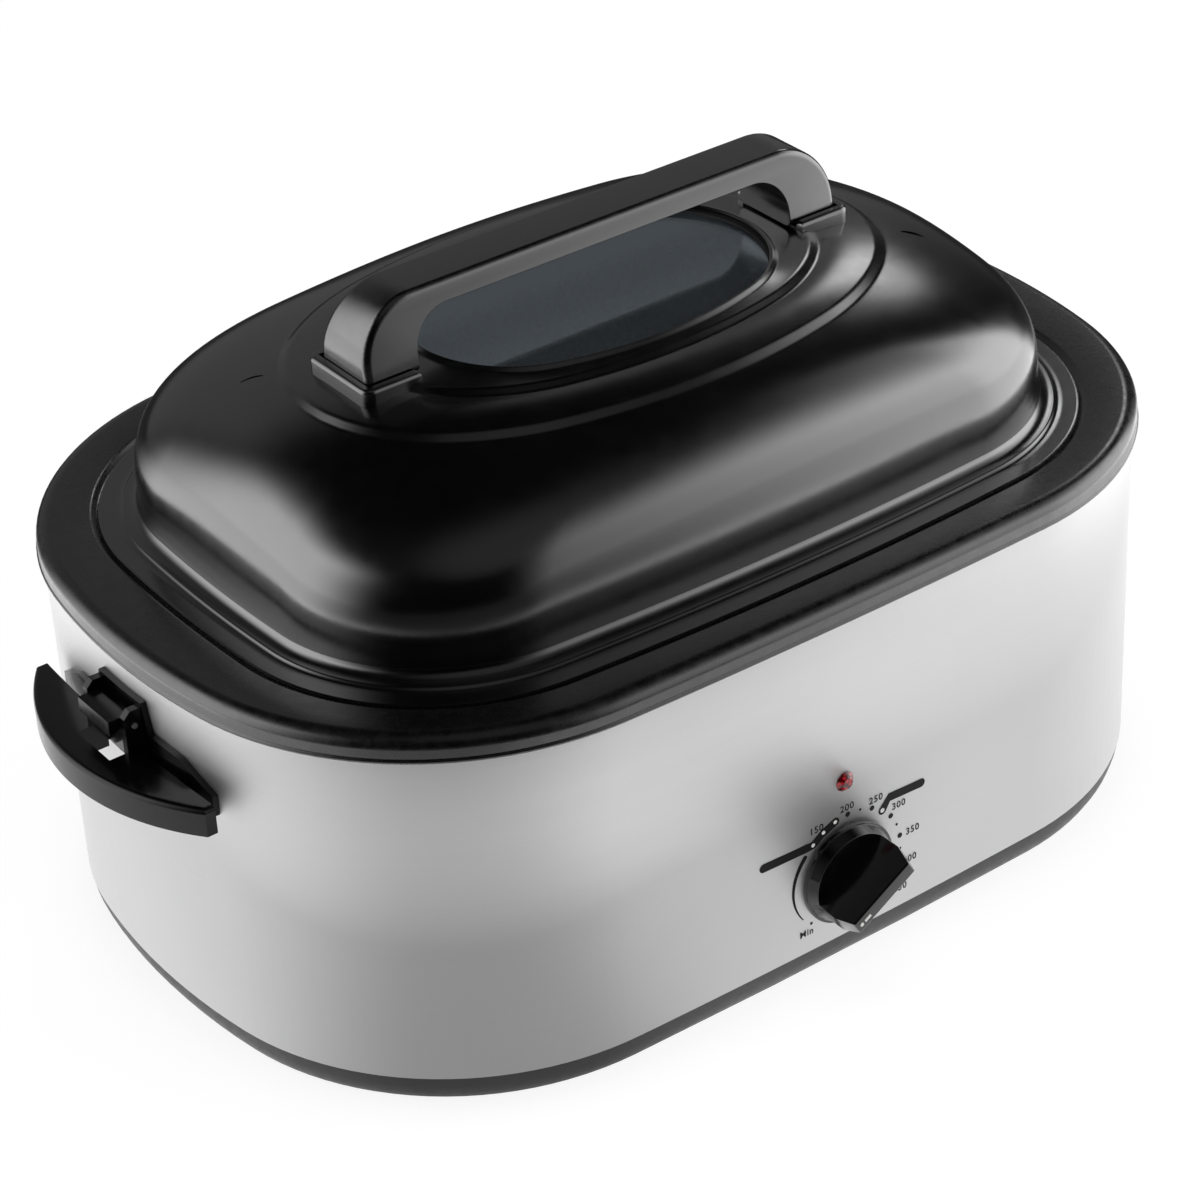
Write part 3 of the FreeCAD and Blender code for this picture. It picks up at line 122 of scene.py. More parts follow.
# ---- sizes that only the looks have, in millimetres ----
VENTS = ((-163.5, 50.0, -1.3, 1.6), (173.8, -41.7, 1.0, 3.0))    # place, bow and width of the slits
VENT_REACH = 6.0                             # half a slit's length
BRIM_RISE_START = 0.4                        # where the step up from the brim begins
VENT_DEPTH = 4.0                             # how far it is cut to each side of the face
VENT_TAPER = 0.5                             # the share of its width that it loses at its ends
LID_BEND = 1.5                               # the bends' reach along the lid's section
WELL_BEND = 1.0
SMOOTH_TURN = 9.0                            # degrees; see soften

FILLET_RINGS = 10
DOME_RINGS = 48
SLOPE_RINGS = 10
SHOULDER_RINGS = 12
SHELL_RINGS = 8
WELL_BEND_RINGS = 8
WELL_FLOOR_RINGS = 10

WELD = 0.004                                 # points of a CAD mesh nearer than this are one
FLAT_ANGLE = 0.6                             # degrees; faces that meet flatter are joined
SHARP_ANGLE = 32.0                           # degrees; edges that turn more are rounded
VENT_SHARP_ANGLE = 45.0                      # degrees; sharper edges of the lid stay crisp

DIAL_X = 2.0                                 # the dial's centre, from the knob's axis
DIAL_Z = -0.5
DIAL_RADIUS = 33.3
DIAL_PITCH = 13.7                            # degrees between marks
DIAL_START = 90.5                            # degrees, at 200
PRINT_LIFT = 0.06                            # the dial's ink over the steel
INK_SHEET = 0.04
WHITE_LIFT = 0.05                            # the pale dots over the ink
BIG_DOT = 1.5
SMALL_DOT = 0.75
MIN_DOT = 0.8
MIN_PLACE = (222.1, 32.2)                    # angle and radius on the dial
ARC_START = 144                              # the tapering arc before Min: degrees, then millimetres
ARC_SWEEP = 66
ARC_RADIUS = 33.6
ARC_BULGE = 1.2
ARC_WIDTH = 2.7
ARC_TAPER = 2.1
ARC_STEPS = 24
BAR_WIDTH = 5.0
LEFT_BAR = [(-50.5, 25.0), (-24.0, 24.4)]    # the bars' corners away from the dial, from the knob's axis
RIGHT_BAR = [(28.2, 30.6), (48.7, 29.6)]
BAR_DOT = 1.1
BAR_END_DOT = 1.3
LABEL_SIZE = 5.4
LABEL_WEIGHT = 0.07                          # how far the strokes are thickened
LABEL_SPACING = 1.12
LABEL_SHEET = 0.02
LABELS = {
    "150": (-17.9, 32.6), "200": (1.3, 37.0), "250": (19.6, 33.5), "300": (34.2, 23.4),
    "350": (43.2, 4.2), "400": (41.4, -12.8), "450": (35.0, -27.8), "Min": (-25.0, -26.6),
}


# ---- outlines and pressed sheet ----

class Oval:
    """A plan outline of eight tangent arcs: two ends, two sides and four corners."""

    END_STEPS = 6
    CORNER_STEPS = 26
    SIDE_STEPS = 14

    def __init__(self, half_length, half_width, corner, end_angle, side_angle):
        self.a = half_length
        self.b = half_width
        self.corner = corner
        self.end_angle = end_angle
        self.side_angle = side_angle

    def inset(self, d):
        return Oval(self.a - d, self.b - d, self.corner - d, self.end_angle, self.side_angle)

    def blend(self, other, t):
        def mix(p, q):
            return p + (q - p) * t
        return Oval(mix(self.a, other.a), mix(self.b, other.b), mix(self.corner, other.corner),
                    mix(self.end_angle, other.end_angle), mix(self.side_angle, other.side_angle))

    def arcs(self):
        """A quarter of the outline: each arc's centre, radius, angles and steps."""
        end = math.radians(self.end_angle)
        side = math.radians(self.side_angle)
        m11 = 1 - math.cos(end)
        m12 = math.cos(side)
        m21 = math.sin(end)
        m22 = 1 - math.sin(side)
        along = self.a - self.corner
        across = self.b - self.corner
        det = m11 * m22 - m12 * m21
        end_extra = (along * m22 - m12 * across) / det
        side_extra = (m11 * across - m21 * along) / det
        end_r = end_extra + self.corner
        side_r = side_extra + self.corner
        cx = side_extra * math.cos(side)
        cy = end_extra * math.sin(end)
        return [
            (self.a - end_r, 0.0, end_r, 0.0, end, self.END_STEPS),
            (cx, cy, self.corner, end, side, self.CORNER_STEPS),
            (0.0, self.b - side_r, side_r, side, math.pi / 2, self.SIDE_STEPS),
        ]

    def points(self):
        """The outline in plan, anticlockwise from the middle of the +X end."""
        quarter = []
        for cx, cy, r, start, stop, steps in self.arcs():
            for i in range(steps):
                t = start + (stop - start) * i / steps
                quarter.append((cx + r * math.cos(t), cy + r * math.sin(t)))
        quarter.append((0.0, self.b))
        back = [(-x, y) for x, y in reversed(quarter)][:-1]
        half = quarter[:-1] + back
        return half + [(-x, -y) for x, y in half]


rim = Oval(*RIM)
well = Oval(*WELL)
step = Oval(*STEP)
inner_step = Oval(*INNER_STEP)
window = Oval(*WINDOW)


def unit(dx, dz):
    length = max(math.hypot(dx, dz), 1e-9)
    return dx / length, dz / length


def between(first, second, t):
    """The ring part of the way between two rings."""
    return (first[0].blend(second[0], t), first[1] + (second[1] - first[1]) * t)


def gap(first, second):
    return math.hypot(second[0].a - first[0].a, second[1] - first[1])


def turn(before, bend, after):
    """How sharply the path of rings turns, in degrees."""
    dx1, dz1 = unit(bend[0].a - before[0].a, bend[1] - before[1])
    dx2, dz2 = unit(after[0].a - bend[0].a, after[1] - bend[1])
    return math.degrees(math.acos(max(-1.0, min(1.0, dx1 * dx2 + dz1 * dz2))))


def soften(rings, radius, steps=5):
    """Rounds the bends of a path of rings, each by up to the radius along its neighbours.

    A bend of less than SMOOTH_TURN is left as it is. The steps of the well's floor bend turn by just that,
    so their rounding hangs on the order of the sums in floor_bend, which stays as it is.
    """
    out = [rings[0]]
    for before, bend, after in zip(rings, rings[1:], rings[2:]):
        if turn(before, bend, after) < SMOOTH_TURN:
            out.append(bend)
            continue
        room_before = max(gap(before, bend), 1e-6)
        room_after = max(gap(bend, after), 1e-6)
        reach = min(radius, room_before * 0.48, room_after * 0.48)
        start = between(bend, before, reach / room_before)
        end = between(bend, after, reach / room_after)
        for i in range(steps + 1):
            t = i / steps
            out.append(between(between(start, bend, t), between(bend, end, t), t))
    return out + [rings[-1]]


def offset(rings, thickness):
    """The rings moved to the left of their path by the sheet's thickness."""
    moved = []
    for i, (oval, z) in enumerate(rings):
        before = rings[max(i - 1, 0)]
        after = rings[min(i + 1, len(rings) - 1)]
        dx, dz = unit(after[0].a - before[0].a, after[1] - before[1])
        moved.append((oval.inset(dz * thickness), z + dx * thickness))
    return moved


def quarter_turn(steps):
    return [math.pi / 2 * i / steps for i in range(steps + 1)]


def outward_bend(oval, z, width, height, steps):
    """Rings from upright at the oval to level at the height z."""
    return [(oval.inset(width * (1 - math.cos(t))), z - height * (1 - math.sin(t)))
            for t in quarter_turn(steps)]


def inward_bend(oval, inset, z, width, height, steps):
    """Rings from level at this inset and the height z to upright below."""
    return [(oval.inset(inset + width * math.sin(t)), z - height * (1 - math.cos(t)))
            for t in quarter_turn(steps)]


def floor_bend(oval, inset, z, radius, steps):
    """Rings from upright at this inset to level at the floor's height z."""
    return [(oval.inset(inset + radius * (1 - math.cos(t))), z + radius * (1 - math.sin(t)))
            for t in quarter_turn(steps)]


# ---- meshes ----

def link(name, data):
    """A new object in the scene that holds the mesh, text, lamp or camera."""
    piece = bpy.data.objects.new(name, data)
    bpy.context.scene.collection.objects.link(piece)
    return piece


def ring_mesh(name, rings, floor=False):
    """A smooth skin through the rings. A closed section is the default; a floor closes both ends."""
    verts = []
    for oval, z in rings:
        verts += [(x * MM, y * MM, z * MM) for x, y in oval.points()]
    count = len(verts) // len(rings)
    pairs = [(i, i + 1) for i in range(len(rings) - 1)]
    if not floor:
        pairs.append((len(rings) - 1, 0))
    faces = []
    for low, high in pairs:
        for j in range(count):
            k = (j + 1) % count
            faces.append((low * count + j, low * count + k, high * count + k, high * count + j))
    if floor:
        faces.append(tuple(range(count)))
        faces.append(tuple(reversed(range((len(rings) - 1) * count, len(rings) * count))))
    mesh = bpy.data.meshes.new(name)
    mesh.from_pydata(verts, [], faces)
    mesh.update()
    tidy_normals(mesh)
    return link(name, mesh)


def tidy_normals(mesh):
    """Turns the faces outwards and shades them smoothly."""
    bm = bmesh.new()
    bm.from_mesh(mesh)
    bmesh.ops.recalc_face_normals(bm, faces=bm.faces)
    for face in bm.faces:
        face.smooth = True
    bm.to_mesh(mesh)
    bm.free()


def dress(piece, node, material):
    """The piece stands for a CAD node: it rides on the node's body, takes this finish, and the node is
    hidden.
    """
    piece.data.materials.clear()
    piece.data.materials.append(material)
    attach(piece, NODES[node]["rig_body"])
    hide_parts(node)
    return piece


def refined(node, material, bevel=0.35, segments=2):
    """A copy of the CAD node's mesh with welded faces, rounded edges and smooth shading."""
    mesh = NODES[node].data.copy()
    mesh.name = node + "_finish"
    bm = bmesh.new()
    bm.from_mesh(mesh)
    bmesh.ops.remove_doubles(bm, verts=bm.verts, dist=WELD * MM)
    bmesh.ops.dissolve_limit(bm, angle_limit=math.radians(FLAT_ANGLE), verts=bm.verts, edges=bm.edges)
    limit = math.radians(SHARP_ANGLE)
    for face in bm.faces:
        face.smooth = True
    for edge in bm.edges:
        edge.smooth = not (len(edge.link_faces) == 2 and edge.calc_face_angle(0.0) > limit)
    bm.to_mesh(mesh)
    bm.free()
    for name in [a.name for a in mesh.attributes if a.name == "custom_normal"]:
        mesh.attributes.remove(mesh.attributes[name])
    piece = link(node + "_finish", mesh)
    if bevel:
        rounding = piece.modifiers.new("edges", "BEVEL")
        rounding.width = bevel * MM
        rounding.segments = segments
        rounding.limit_method = "ANGLE"
        rounding.angle_limit = limit
        rounding.harden_normals = True
        rounding.miter_outer = "MITER_ARC"
        apply_modifiers(piece)
    return dress(piece, node, material)


def apply_modifiers(piece):
    graph = bpy.context.evaluated_depsgraph_get()
    shaped = bpy.data.meshes.new_from_object(piece.evaluated_get(graph))
    old = piece.data
    piece.modifiers.clear()
    piece.data = shaped
    bpy.data.meshes.remove(old)


# ---- materials ----

class Graph:
    """A node tree, with short forms for the nodes it takes most."""

    def __init__(self, tree):
        self.tree = tree

    def node(self, kind, **values):
        made = self.tree.nodes.new(kind)
        for key, value in values.items():
            setattr(made, key, value)
        return made

    def wire(self, source, target):
        self.tree.links.new(source, target)

    def feed(self, target, source):
        """Gives a socket another socket's output, or a plain value."""
        if isinstance(source, bpy.types.NodeSocket):
            self.wire(source, target)
        else:
            target.default_value = source

    def math(self, operation, first, second=0.0):
        node = self.node("ShaderNodeMath", operation=operation)
        self.feed(node.inputs[0], first)
        self.feed(node.inputs[1], second)
        return node.outputs[0]

    def vector(self, operation, first, second=(0.0, 0.0, 0.0)):
        node = self.node("ShaderNodeVectorMath", operation=operation)
        self.feed(node.inputs[0], first)
        self.feed(node.inputs[1], second)
        return node.outputs["Value" if operation in ("DOT_PRODUCT", "LENGTH") else "Vector"]

    def spread(self, source, low, high, start=0.3, stop=0.7, smooth=False):
        """The source from start to stop, mapped on low to high."""
        node = self.node("ShaderNodeMapRange")
        if smooth:
            node.interpolation_type = "SMOOTHSTEP"
        limits = (("From Min", start), ("From Max", stop), ("To Min", low), ("To Max", high))
        for socket, value in limits:
            node.inputs[socket].default_value = value
        self.wire(source, node.inputs["Value"])
        return node.outputs["Result"]

    def mix(self, factor, first, second):
        node = self.node("ShaderNodeMixShader")
        self.feed(node.inputs["Fac"], factor)
        self.wire(first, node.inputs[1])
        self.wire(second, node.inputs[2])
        return node.outputs[0]


class Finish(Graph):
    """A principled material and a few helpers to build detail on it."""

    def __init__(self, name, color, roughness, metallic=0.0, coat=0.0, coat_roughness=0.1):
        self.material = bpy.data.materials.new(name)
        self.material.use_nodes = True
        Graph.__init__(self, self.material.node_tree)
        self.shader = self.tree.nodes["Principled BSDF"]
        self.set("Base Color", (*color, 1.0))
        self.set("Roughness", roughness)
        self.set("Metallic", metallic)
        self.set("Coat Weight", coat)
        self.set("Coat Roughness", coat_roughness)
        self.place = self.node("ShaderNodeTexCoord").outputs["Object"]
        self.bumps = []

    def set(self, socket, value):
        self.shader.inputs[socket].default_value = value

    def noise(self, scale, detail=3.0, stretch=(1, 1, 1), roughness=0.5):
        """Noise in the part's own space, in metres, so that scale is in cells per metre."""
        mapping = self.node("ShaderNodeMapping")
        mapping.inputs["Scale"].default_value = stretch
        self.wire(self.place, mapping.inputs["Vector"])
        texture = self.node("ShaderNodeTexNoise")
        texture.inputs["Scale"].default_value = scale
        texture.inputs["Detail"].default_value = detail
        texture.inputs["Roughness"].default_value = roughness
        self.wire(mapping.outputs["Vector"], texture.inputs["Vector"])
        return texture.outputs["Fac"]

    def vary_roughness(self, source, low, high):
        self.wire(self.spread(source, low, high), self.shader.inputs["Roughness"])

    def vary_color(self, source, dark, light):
        ramp = self.node("ShaderNodeValToRGB")
        ramp.color_ramp.elements[0].position = 0.3
        ramp.color_ramp.elements[0].color = (*dark, 1.0)
        ramp.color_ramp.elements[1].position = 0.7
        ramp.color_ramp.elements[1].color = (*light, 1.0)
        self.wire(source, ramp.inputs["Fac"])
        self.wire(ramp.outputs["Color"], self.shader.inputs["Base Color"])

    def bump(self, source, depth, strength=1.0):
        node = self.node("ShaderNodeBump")
        node.inputs["Strength"].default_value = strength
        node.inputs["Distance"].default_value = depth * MM
        self.wire(source, node.inputs["Height"])
        if self.bumps:
            self.wire(self.bumps[-1].outputs["Normal"], node.inputs["Normal"])
        self.bumps.append(node)
        self.wire(node.outputs["Normal"], self.shader.inputs["Normal"])


def lid_enamel():
    """Deep black with a strong reflection, so that moderate lights draw the pressing's shape."""
    f = Finish("lid_enamel", (0.0012, 0.0012, 0.0013), 0.19)
    f.vary_roughness(f.noise(90.0, 4.0), 0.17, 0.21)
    f.vary_color(f.noise(14.0, 2.0), (0.0009, 0.0009, 0.001), (0.0015, 0.0015, 0.0016))
    f.bump(f.noise(700.0, 2.0), 0.008)
    f.set("IOR", 1.8)
    f.set("Specular IOR Level", 1.0)
    return f.material


def cookwell_enamel():
    """Black enamel with a fine speckle."""
    f = Finish("cookwell_enamel", (0.002, 0.002, 0.002), 0.26, coat=0.1, coat_roughness=0.14)
    f.set("IOR", 1.8)
    f.set("Specular IOR Level", 0.55)
    f.vary_roughness(f.noise(160.0, 5.0), 0.22, 0.32)
    f.vary_color(f.noise(40.0, 3.0), (0.0015, 0.0015, 0.0015), (0.003, 0.003, 0.003))
    f.bump(f.noise(600.0, 3.0), 0.02)
    return f.material


def brushed_steel():
    """Steel brushed level round the body."""
    f = Finish("brushed_steel", (0.66, 0.66, 0.66), 0.54, metallic=1.0)
    grain = f.noise(9.0, 6.0, stretch=(1.0, 1.0, 260.0), roughness=0.65)
    cloud = f.noise(5.0, 3.0)
    f.vary_roughness(grain, 0.5, 0.58)
    f.vary_color(cloud, (0.63, 0.63, 0.632), (0.68, 0.68, 0.68))
    f.bump(grain, 0.010, 0.6)
    f.set("Anisotropic", 0.35)
    return f.material


def plain_steel(name="plain_steel", color=(0.55, 0.55, 0.56), roughness=0.34):
    """Rolled or plated metal with no direction."""
    f = Finish(name, color, roughness, metallic=1.0)
    f.vary_roughness(f.noise(260.0, 4.0), roughness - 0.06, roughness + 0.08)
    f.bump(f.noise(900.0, 2.0), 0.006)
    return f.material


def moulded(name, color, roughness, grain=900.0, depth=0.012, coat=0.0, specular=0.5, ior=1.5):
    """Plastic, rubber, ceramic or ink, with a fine grain of this depth in millimetres."""
    f = Finish(name, color, roughness, coat=coat, coat_roughness=roughness / 2)
    f.set("Specular IOR Level", specular)
    f.set("IOR", ior)
    f.vary_roughness(f.noise(220.0, 3.0), roughness - 0.04, roughness + 0.05)
    light = tuple(c * 1.25 for c in color)
    f.vary_color(f.noise(30.0, 2.0), color, light)
    f.bump(f.noise(grain, 2.0), depth)
    return f.material


def window_pane():
    """Smooth glass with a cool tint."""
    f = Finish("window_pane", (0.6, 0.68, 0.74), 0.02)
    f.set("Transmission Weight", 0.96)
    f.set("IOR", 2.2)
    f.set("Specular Tint", (0.72, 0.86, 1.0, 1.0))
    f.bump(f.noise(20.0, 1.0), 0.01, 0.2)
    return f.material


def lamp_red():
    """A red lens with small facets behind its face. Each facet is bumped, and its colour carries painted
    shading: bright red in its middle, dark red at its edges.
    """
    f = Finish("lamp_red", (0.3, 0.006, 0.012), 0.16, coat=0.3, coat_roughness=0.06)
    facets = f.node("ShaderNodeTexVoronoi")
    facets.inputs["Scale"].default_value = 420.0
    f.wire(f.place, facets.inputs["Vector"])
    ramp = f.spread(facets.outputs["Distance"], 0.0, 1.0, 0.0, 0.8)
    # painted shading of the facets: the colour runs from bright red at each facet's middle to dark red at
    # its edges
    f.vary_color(ramp, (0.5, 0.012, 0.02), (0.06, 0.0, 0.002))
    f.bump(facets.outputs["Distance"], 0.25, 0.8)
    return f.material


def fibre():
    """Matted glass fibre."""
    f = Finish("glass_fibre", (0.78, 0.75, 0.66), 0.9)
    f.vary_color(f.noise(90.0, 5.0), (0.62, 0.59, 0.5), (0.84, 0.82, 0.74))
    f.bump(f.noise(500.0, 5.0), 0.6)
    return f.material


LID = lid_enamel()
POT = cookwell_enamel()
STEEL = brushed_steel()
PLAIN = plain_steel()
ZINC = plain_steel("zinc_steel", (0.6, 0.6, 0.6), 0.28)
MICA = plain_steel("heater_band", (0.4, 0.36, 0.32), 0.5)
HANDLE = moulded("handle_black", (0.0015, 0.0015, 0.0016), 0.2, 900.0, 0.002,
                 coat=0.3, specular=0.75, ior=1.8)
GRIP = moulded("side_handle_black", (0.0012, 0.0012, 0.0013), 0.22, 900.0, 0.002,
               coat=0.2, specular=0.25)
KNOB = moulded("knob_black", (0.0015, 0.0015, 0.0016), 0.16, 1200.0, 0.002, coat=0.3, specular=0.5)
BASE = moulded("base_black", (0.022, 0.022, 0.023), 0.45, 700.0, 0.02)
RUBBER = moulded("rubber_black", (0.015, 0.015, 0.015), 0.7, 600.0, 0.03)
CERAMIC = moulded("ceramic_white", (0.74, 0.72, 0.66), 0.5)
SLEEVE = moulded("wire_sleeve", (0.4, 0.38, 0.33), 0.75, 1500.0, 0.1)
PANE = window_pane()
RED = lamp_red()
FIBRE = fibre()
WHITE = moulded("pointer_white", (0.62, 0.62, 0.6), 0.5)
INK = moulded("dial_ink", (0.003, 0.003, 0.003), 0.5, 2000.0, 0.004, specular=0.15)


# ---- the pressed pieces ----

def fillet_ring(t):
    """The hollow at the dome's foot, from level to nearly upright."""
    z = BRIM_Z + BRIM_RISE + FILLET_HEIGHT * (1 - math.cos(t))
    return (well.inset(FOOT_INSET + FILLET_WIDTH * math.sin(t)), z)


def dome_ring(t):
    """The dome, from the top of its foot at t = 0 to the outer step at t = 1."""
    def rise(u):
        return (1 - (1 - DOME_REACH * u) ** DOME_POWER) ** (1 / DOME_POWER)
    u = t ** 2
    low = BRIM_Z + BRIM_RISE + FILLET_HEIGHT
    z = low + (STEP_Z - low) * rise(u) / rise(1.0)
    return (well.inset(FOOT_INSET + FILLET_WIDTH).blend(step, u), z)


def slope_ring(t):
    """The raised centre between the outer riser and the inner step."""
    low = STEP_Z + OUTER_RISER
    z = low + (INNER_STEP_Z - low) * math.sin(t * math.pi / 2)
    return (step.inset(RISER_WIDTH).blend(inner_step, t), z)


def lid_rings():
    """The lid's outer face, from the brim's edge up to the window."""
    rings = [
        (well.inset(BRIM_INSET), BRIM_Z - BRIM_EDGE_DROP),
        (well.inset(BRIM_INSET + BRIM_EDGE), BRIM_Z),
        (well.inset(BRIM_INSET + BRIM_WIDTH), BRIM_Z),
        (well.inset(FOOT_INSET - BRIM_RISE), BRIM_Z + BRIM_RISE_START),
    ]
    rings += [fillet_ring(t) for t in quarter_turn(FILLET_RINGS)[:-1]]
    rings += [dome_ring(i / DOME_RINGS) for i in range(DOME_RINGS + 1)]
    rings += [slope_ring(i / SLOPE_RINGS) for i in range(SLOPE_RINGS + 1)]
    rings += [
        (inner_step.inset(RISER_WIDTH), INNER_STEP_Z + INNER_RISER),
        (window.inset(-WINDOW_RIM_WIDTH), WINDOW_FOOT_Z),
        (window.inset(-WINDOW_RIM_TOP), WINDOW_Z),
        (window, WINDOW_Z - WINDOW_RIM_EDGE),
    ]
    return soften(rings, LID_BEND)


def make_lid():
    rings = lid_rings()
    lid = ring_mesh("lid_pressing", rings + offset(rings, LID_SHEET)[::-1])
    for i, vent in enumerate(VENTS):
        cut_vent(lid, *vent, "vent_cutter_%d" % i)
    lid.data.set_sharp_from_angle(angle=math.radians(VENT_SHARP_ANGLE))
    return dress(lid, "lid_shell", LID)


def vent_mesh(name, bow, width, steps=8):
    """A short bowed bar, in millimetres along X, with tapered ends."""
    columns = []
    for i in range(steps + 1):
        s = -1 + 2 * i / steps
        middle = bow * (1 - s * s)
        half = width / 2 * (1 - VENT_TAPER * s * s)
        columns.append([(VENT_REACH * s, middle - half), (VENT_REACH * s, middle + half)])
    bm = bmesh.new()
    low, high = [[[bm.verts.new((u, v, z)) for u, v in column] for column in columns]
                 for z in (-VENT_DEPTH, VENT_DEPTH)]
    for i in range(steps):
        bm.faces.new((low[i][0], low[i + 1][0], low[i + 1][1], low[i][1]))
        bm.faces.new((high[i][0], high[i][1], high[i + 1][1], high[i + 1][0]))
        bm.faces.new((low[i][0], high[i][0], high[i + 1][0], low[i + 1][0]))
        bm.faces.new((low[i][1], low[i + 1][1], high[i + 1][1], high[i][1]))
    for i in (0, steps):
        bm.faces.new((low[i][0], low[i][1], high[i][1], high[i][0]))
    bmesh.ops.recalc_face_normals(bm, faces=bm.faces)
    mesh = bpy.data.meshes.new(name)
    bm.to_mesh(mesh)
    bm.free()
    return mesh


def cut_vent(lid, x, y, bow, width, name):
    """A short curved slit through the dome, square to its face."""
    bpy.context.view_layer.update()
    _, place, normal, _ = lid.ray_cast(Vector((x * MM, y * MM, 1.0)), Vector((0, 0, -1)))
    outward = Vector((x / STEP[0] ** 2, y / STEP[1] ** 2, 0.0))
    outward = (outward - normal * outward.dot(normal)).normalized()
    axes = Matrix((outward, normal.cross(outward), normal)).transposed().to_4x4()
    mesh = vent_mesh(name, bow, width)
    mesh.transform(Matrix.Translation(place) @ axes @ Matrix.Scale(MM, 4))
    cutter = link(name, mesh)
    slit = lid.modifiers.new("vent", "BOOLEAN")
    slit.object = cutter
    slit.operation = "DIFFERENCE"
    slit.solver = "EXACT"
    apply_modifiers(lid)
    bpy.data.objects.remove(cutter)


def make_cookwell():
    """The pan: a beaded lip, a rolled rim, the lid's seat, the wall and the floor."""
    lip = rim.inset(BEAD)
    bend_inset = SEAT_INSET + SEAT_WIDTH
    foot_inset = bend_inset + WELL_BEND_WIDTH + WELL_TAPER
    rings = [
        (lip, LIP_BOTTOM),
        (rim, LIP_BOTTOM + BEAD),
        (rim, LIP_BOTTOM + BEAD_HEIGHT - BEAD),
        (lip, LIP_BOTTOM + BEAD_HEIGHT),
    ]
    rings += outward_bend(lip, RIM_TOP, SHOULDER_WIDTH, SHOULDER_HEIGHT, SHOULDER_RINGS)
    rings += [
        (well.inset(SEAT_INSET - SEAT_STEP), RIM_TOP - RIM_FALL),
        (well.inset(SEAT_INSET), SEAT_Z),
    ]
    rings += inward_bend(well, bend_inset, SEAT_Z - SEAT_FALL, WELL_BEND_WIDTH, WELL_BEND_HEIGHT,
                         WELL_BEND_RINGS)
    rings += floor_bend(well, foot_inset, WELL_FLOOR, WELL_FLOOR_BEND, WELL_FLOOR_RINGS)
    rings = soften(rings, WELL_BEND)
    pot = ring_mesh("cookwell_pressing", rings[::-1] + offset(rings, WELL_SHEET), floor=True)
    return dress(pot, "cookwell", POT)


def make_shell():
    """The steel wrapper, turned in over the chamber at its top."""
    wall = rim.inset(SHELL_INSET)
    rings = [(wall, SHELL_BOTTOM)]
    rings += outward_bend(wall, SHELL_TOP, SHELL_CORNER, SHELL_CORNER, SHELL_RINGS)
    rings.append((wall.inset(SHELL_FLANGE), SHELL_TOP))
    shell = ring_mesh("shell_wrapper", rings + offset(rings, SHELL_SHEET)[::-1])
    return dress(shell, "outer_shell", STEEL)


# ---- the dial's print on the front ----

FRONT_RADIUS = rim.inset(SHELL_INSET).arcs()[2][2]


def front_y(x):
    """The steel's outer face at this place along the front, in millimetres."""
    return -(RIM[1] - SHELL_INSET) + (FRONT_RADIUS - math.sqrt(FRONT_RADIUS ** 2 - x ** 2))


def print_mesh(name, outlines, material=INK, lift=PRINT_LIFT):
    """Flat ink shapes, given as outlines in X and Z from the knob's axis, laid on the front."""
    bm = bmesh.new()
    for outline in outlines:
        front, back = [[bm.verts.new((x * MM, (front_y(x) - lift + depth) * MM, (KNOB_Z + z) * MM))
                        for x, z in outline] for depth in (0.0, INK_SHEET)]
        bm.faces.new(front)
        bm.faces.new(back[::-1])
        for i in range(len(outline)):
            j = (i + 1) % len(outline)
            bm.faces.new((front[i], back[i], back[j], front[j]))
    bmesh.ops.recalc_face_normals(bm, faces=bm.faces)
    mesh = bpy.data.meshes.new(name)
    bm.to_mesh(mesh)
    bm.free()
    piece = link(name, mesh)
    mesh.materials.append(material)
    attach(piece, "root")


def polar(angle, radius=DIAL_RADIUS):
    """A place on the dial, from the knob's axis."""
    turned = math.radians(angle)
    return (DIAL_X + radius * math.cos(turned), DIAL_Z + radius * math.sin(turned))


def mark(k):
    """The angle of the dial's mark number k: 0 is 200, and each label is two marks on."""
    return DIAL_START - DIAL_PITCH * k


def dot(centre, size, steps=20):
    turns = [2 * math.pi * i / steps for i in range(steps)]
    return [(centre[0] + size * math.cos(t), centre[1] + size * math.sin(t)) for t in turns]


def cap(centre, towards, half, steps=8):
    """Half a circle round the end of a stroke."""
    start = math.atan2(towards[1], towards[0]) + math.pi / 2
    turns = [start - math.pi * i / steps for i in range(1, steps)]
    return [(centre[0] + half * math.cos(t), centre[1] + half * math.sin(t)) for t in turns]


def stroke(points, widths):
    """An outline round a line of points, with a round cap at each end."""
    left = []
    right = []
    for i, (x, z) in enumerate(points):
        before = points[max(i - 1, 0)]
        after = points[min(i + 1, len(points) - 1)]
        dx, dz = unit(after[0] - before[0], after[1] - before[1])
        half = widths[i] / 2
        left.append((x - dz * half, z + dx * half))
        right.append((x + dz * half, z - dx * half))
    first = unit(points[0][0] - points[1][0], points[0][1] - points[1][1])
    last = unit(points[-1][0] - points[-2][0], points[-1][1] - points[-2][1])
    return (left + cap(points[-1], last, widths[-1] / 2)
            + right[::-1] + cap(points[0], first, widths[0] / 2))


def bar(points):
    return stroke(points, [BAR_WIDTH] * len(points))


def taper_arc():
    """The arc before Min, which grows thin towards it."""
    shares = [i / ARC_STEPS for i in range(ARC_STEPS + 1)]
    line = [polar(ARC_START + ARC_SWEEP * s, ARC_RADIUS + ARC_BULGE * math.sin(math.pi * s))
            for s in shares]
    return stroke(line, [ARC_WIDTH - ARC_TAPER * s for s in shares])


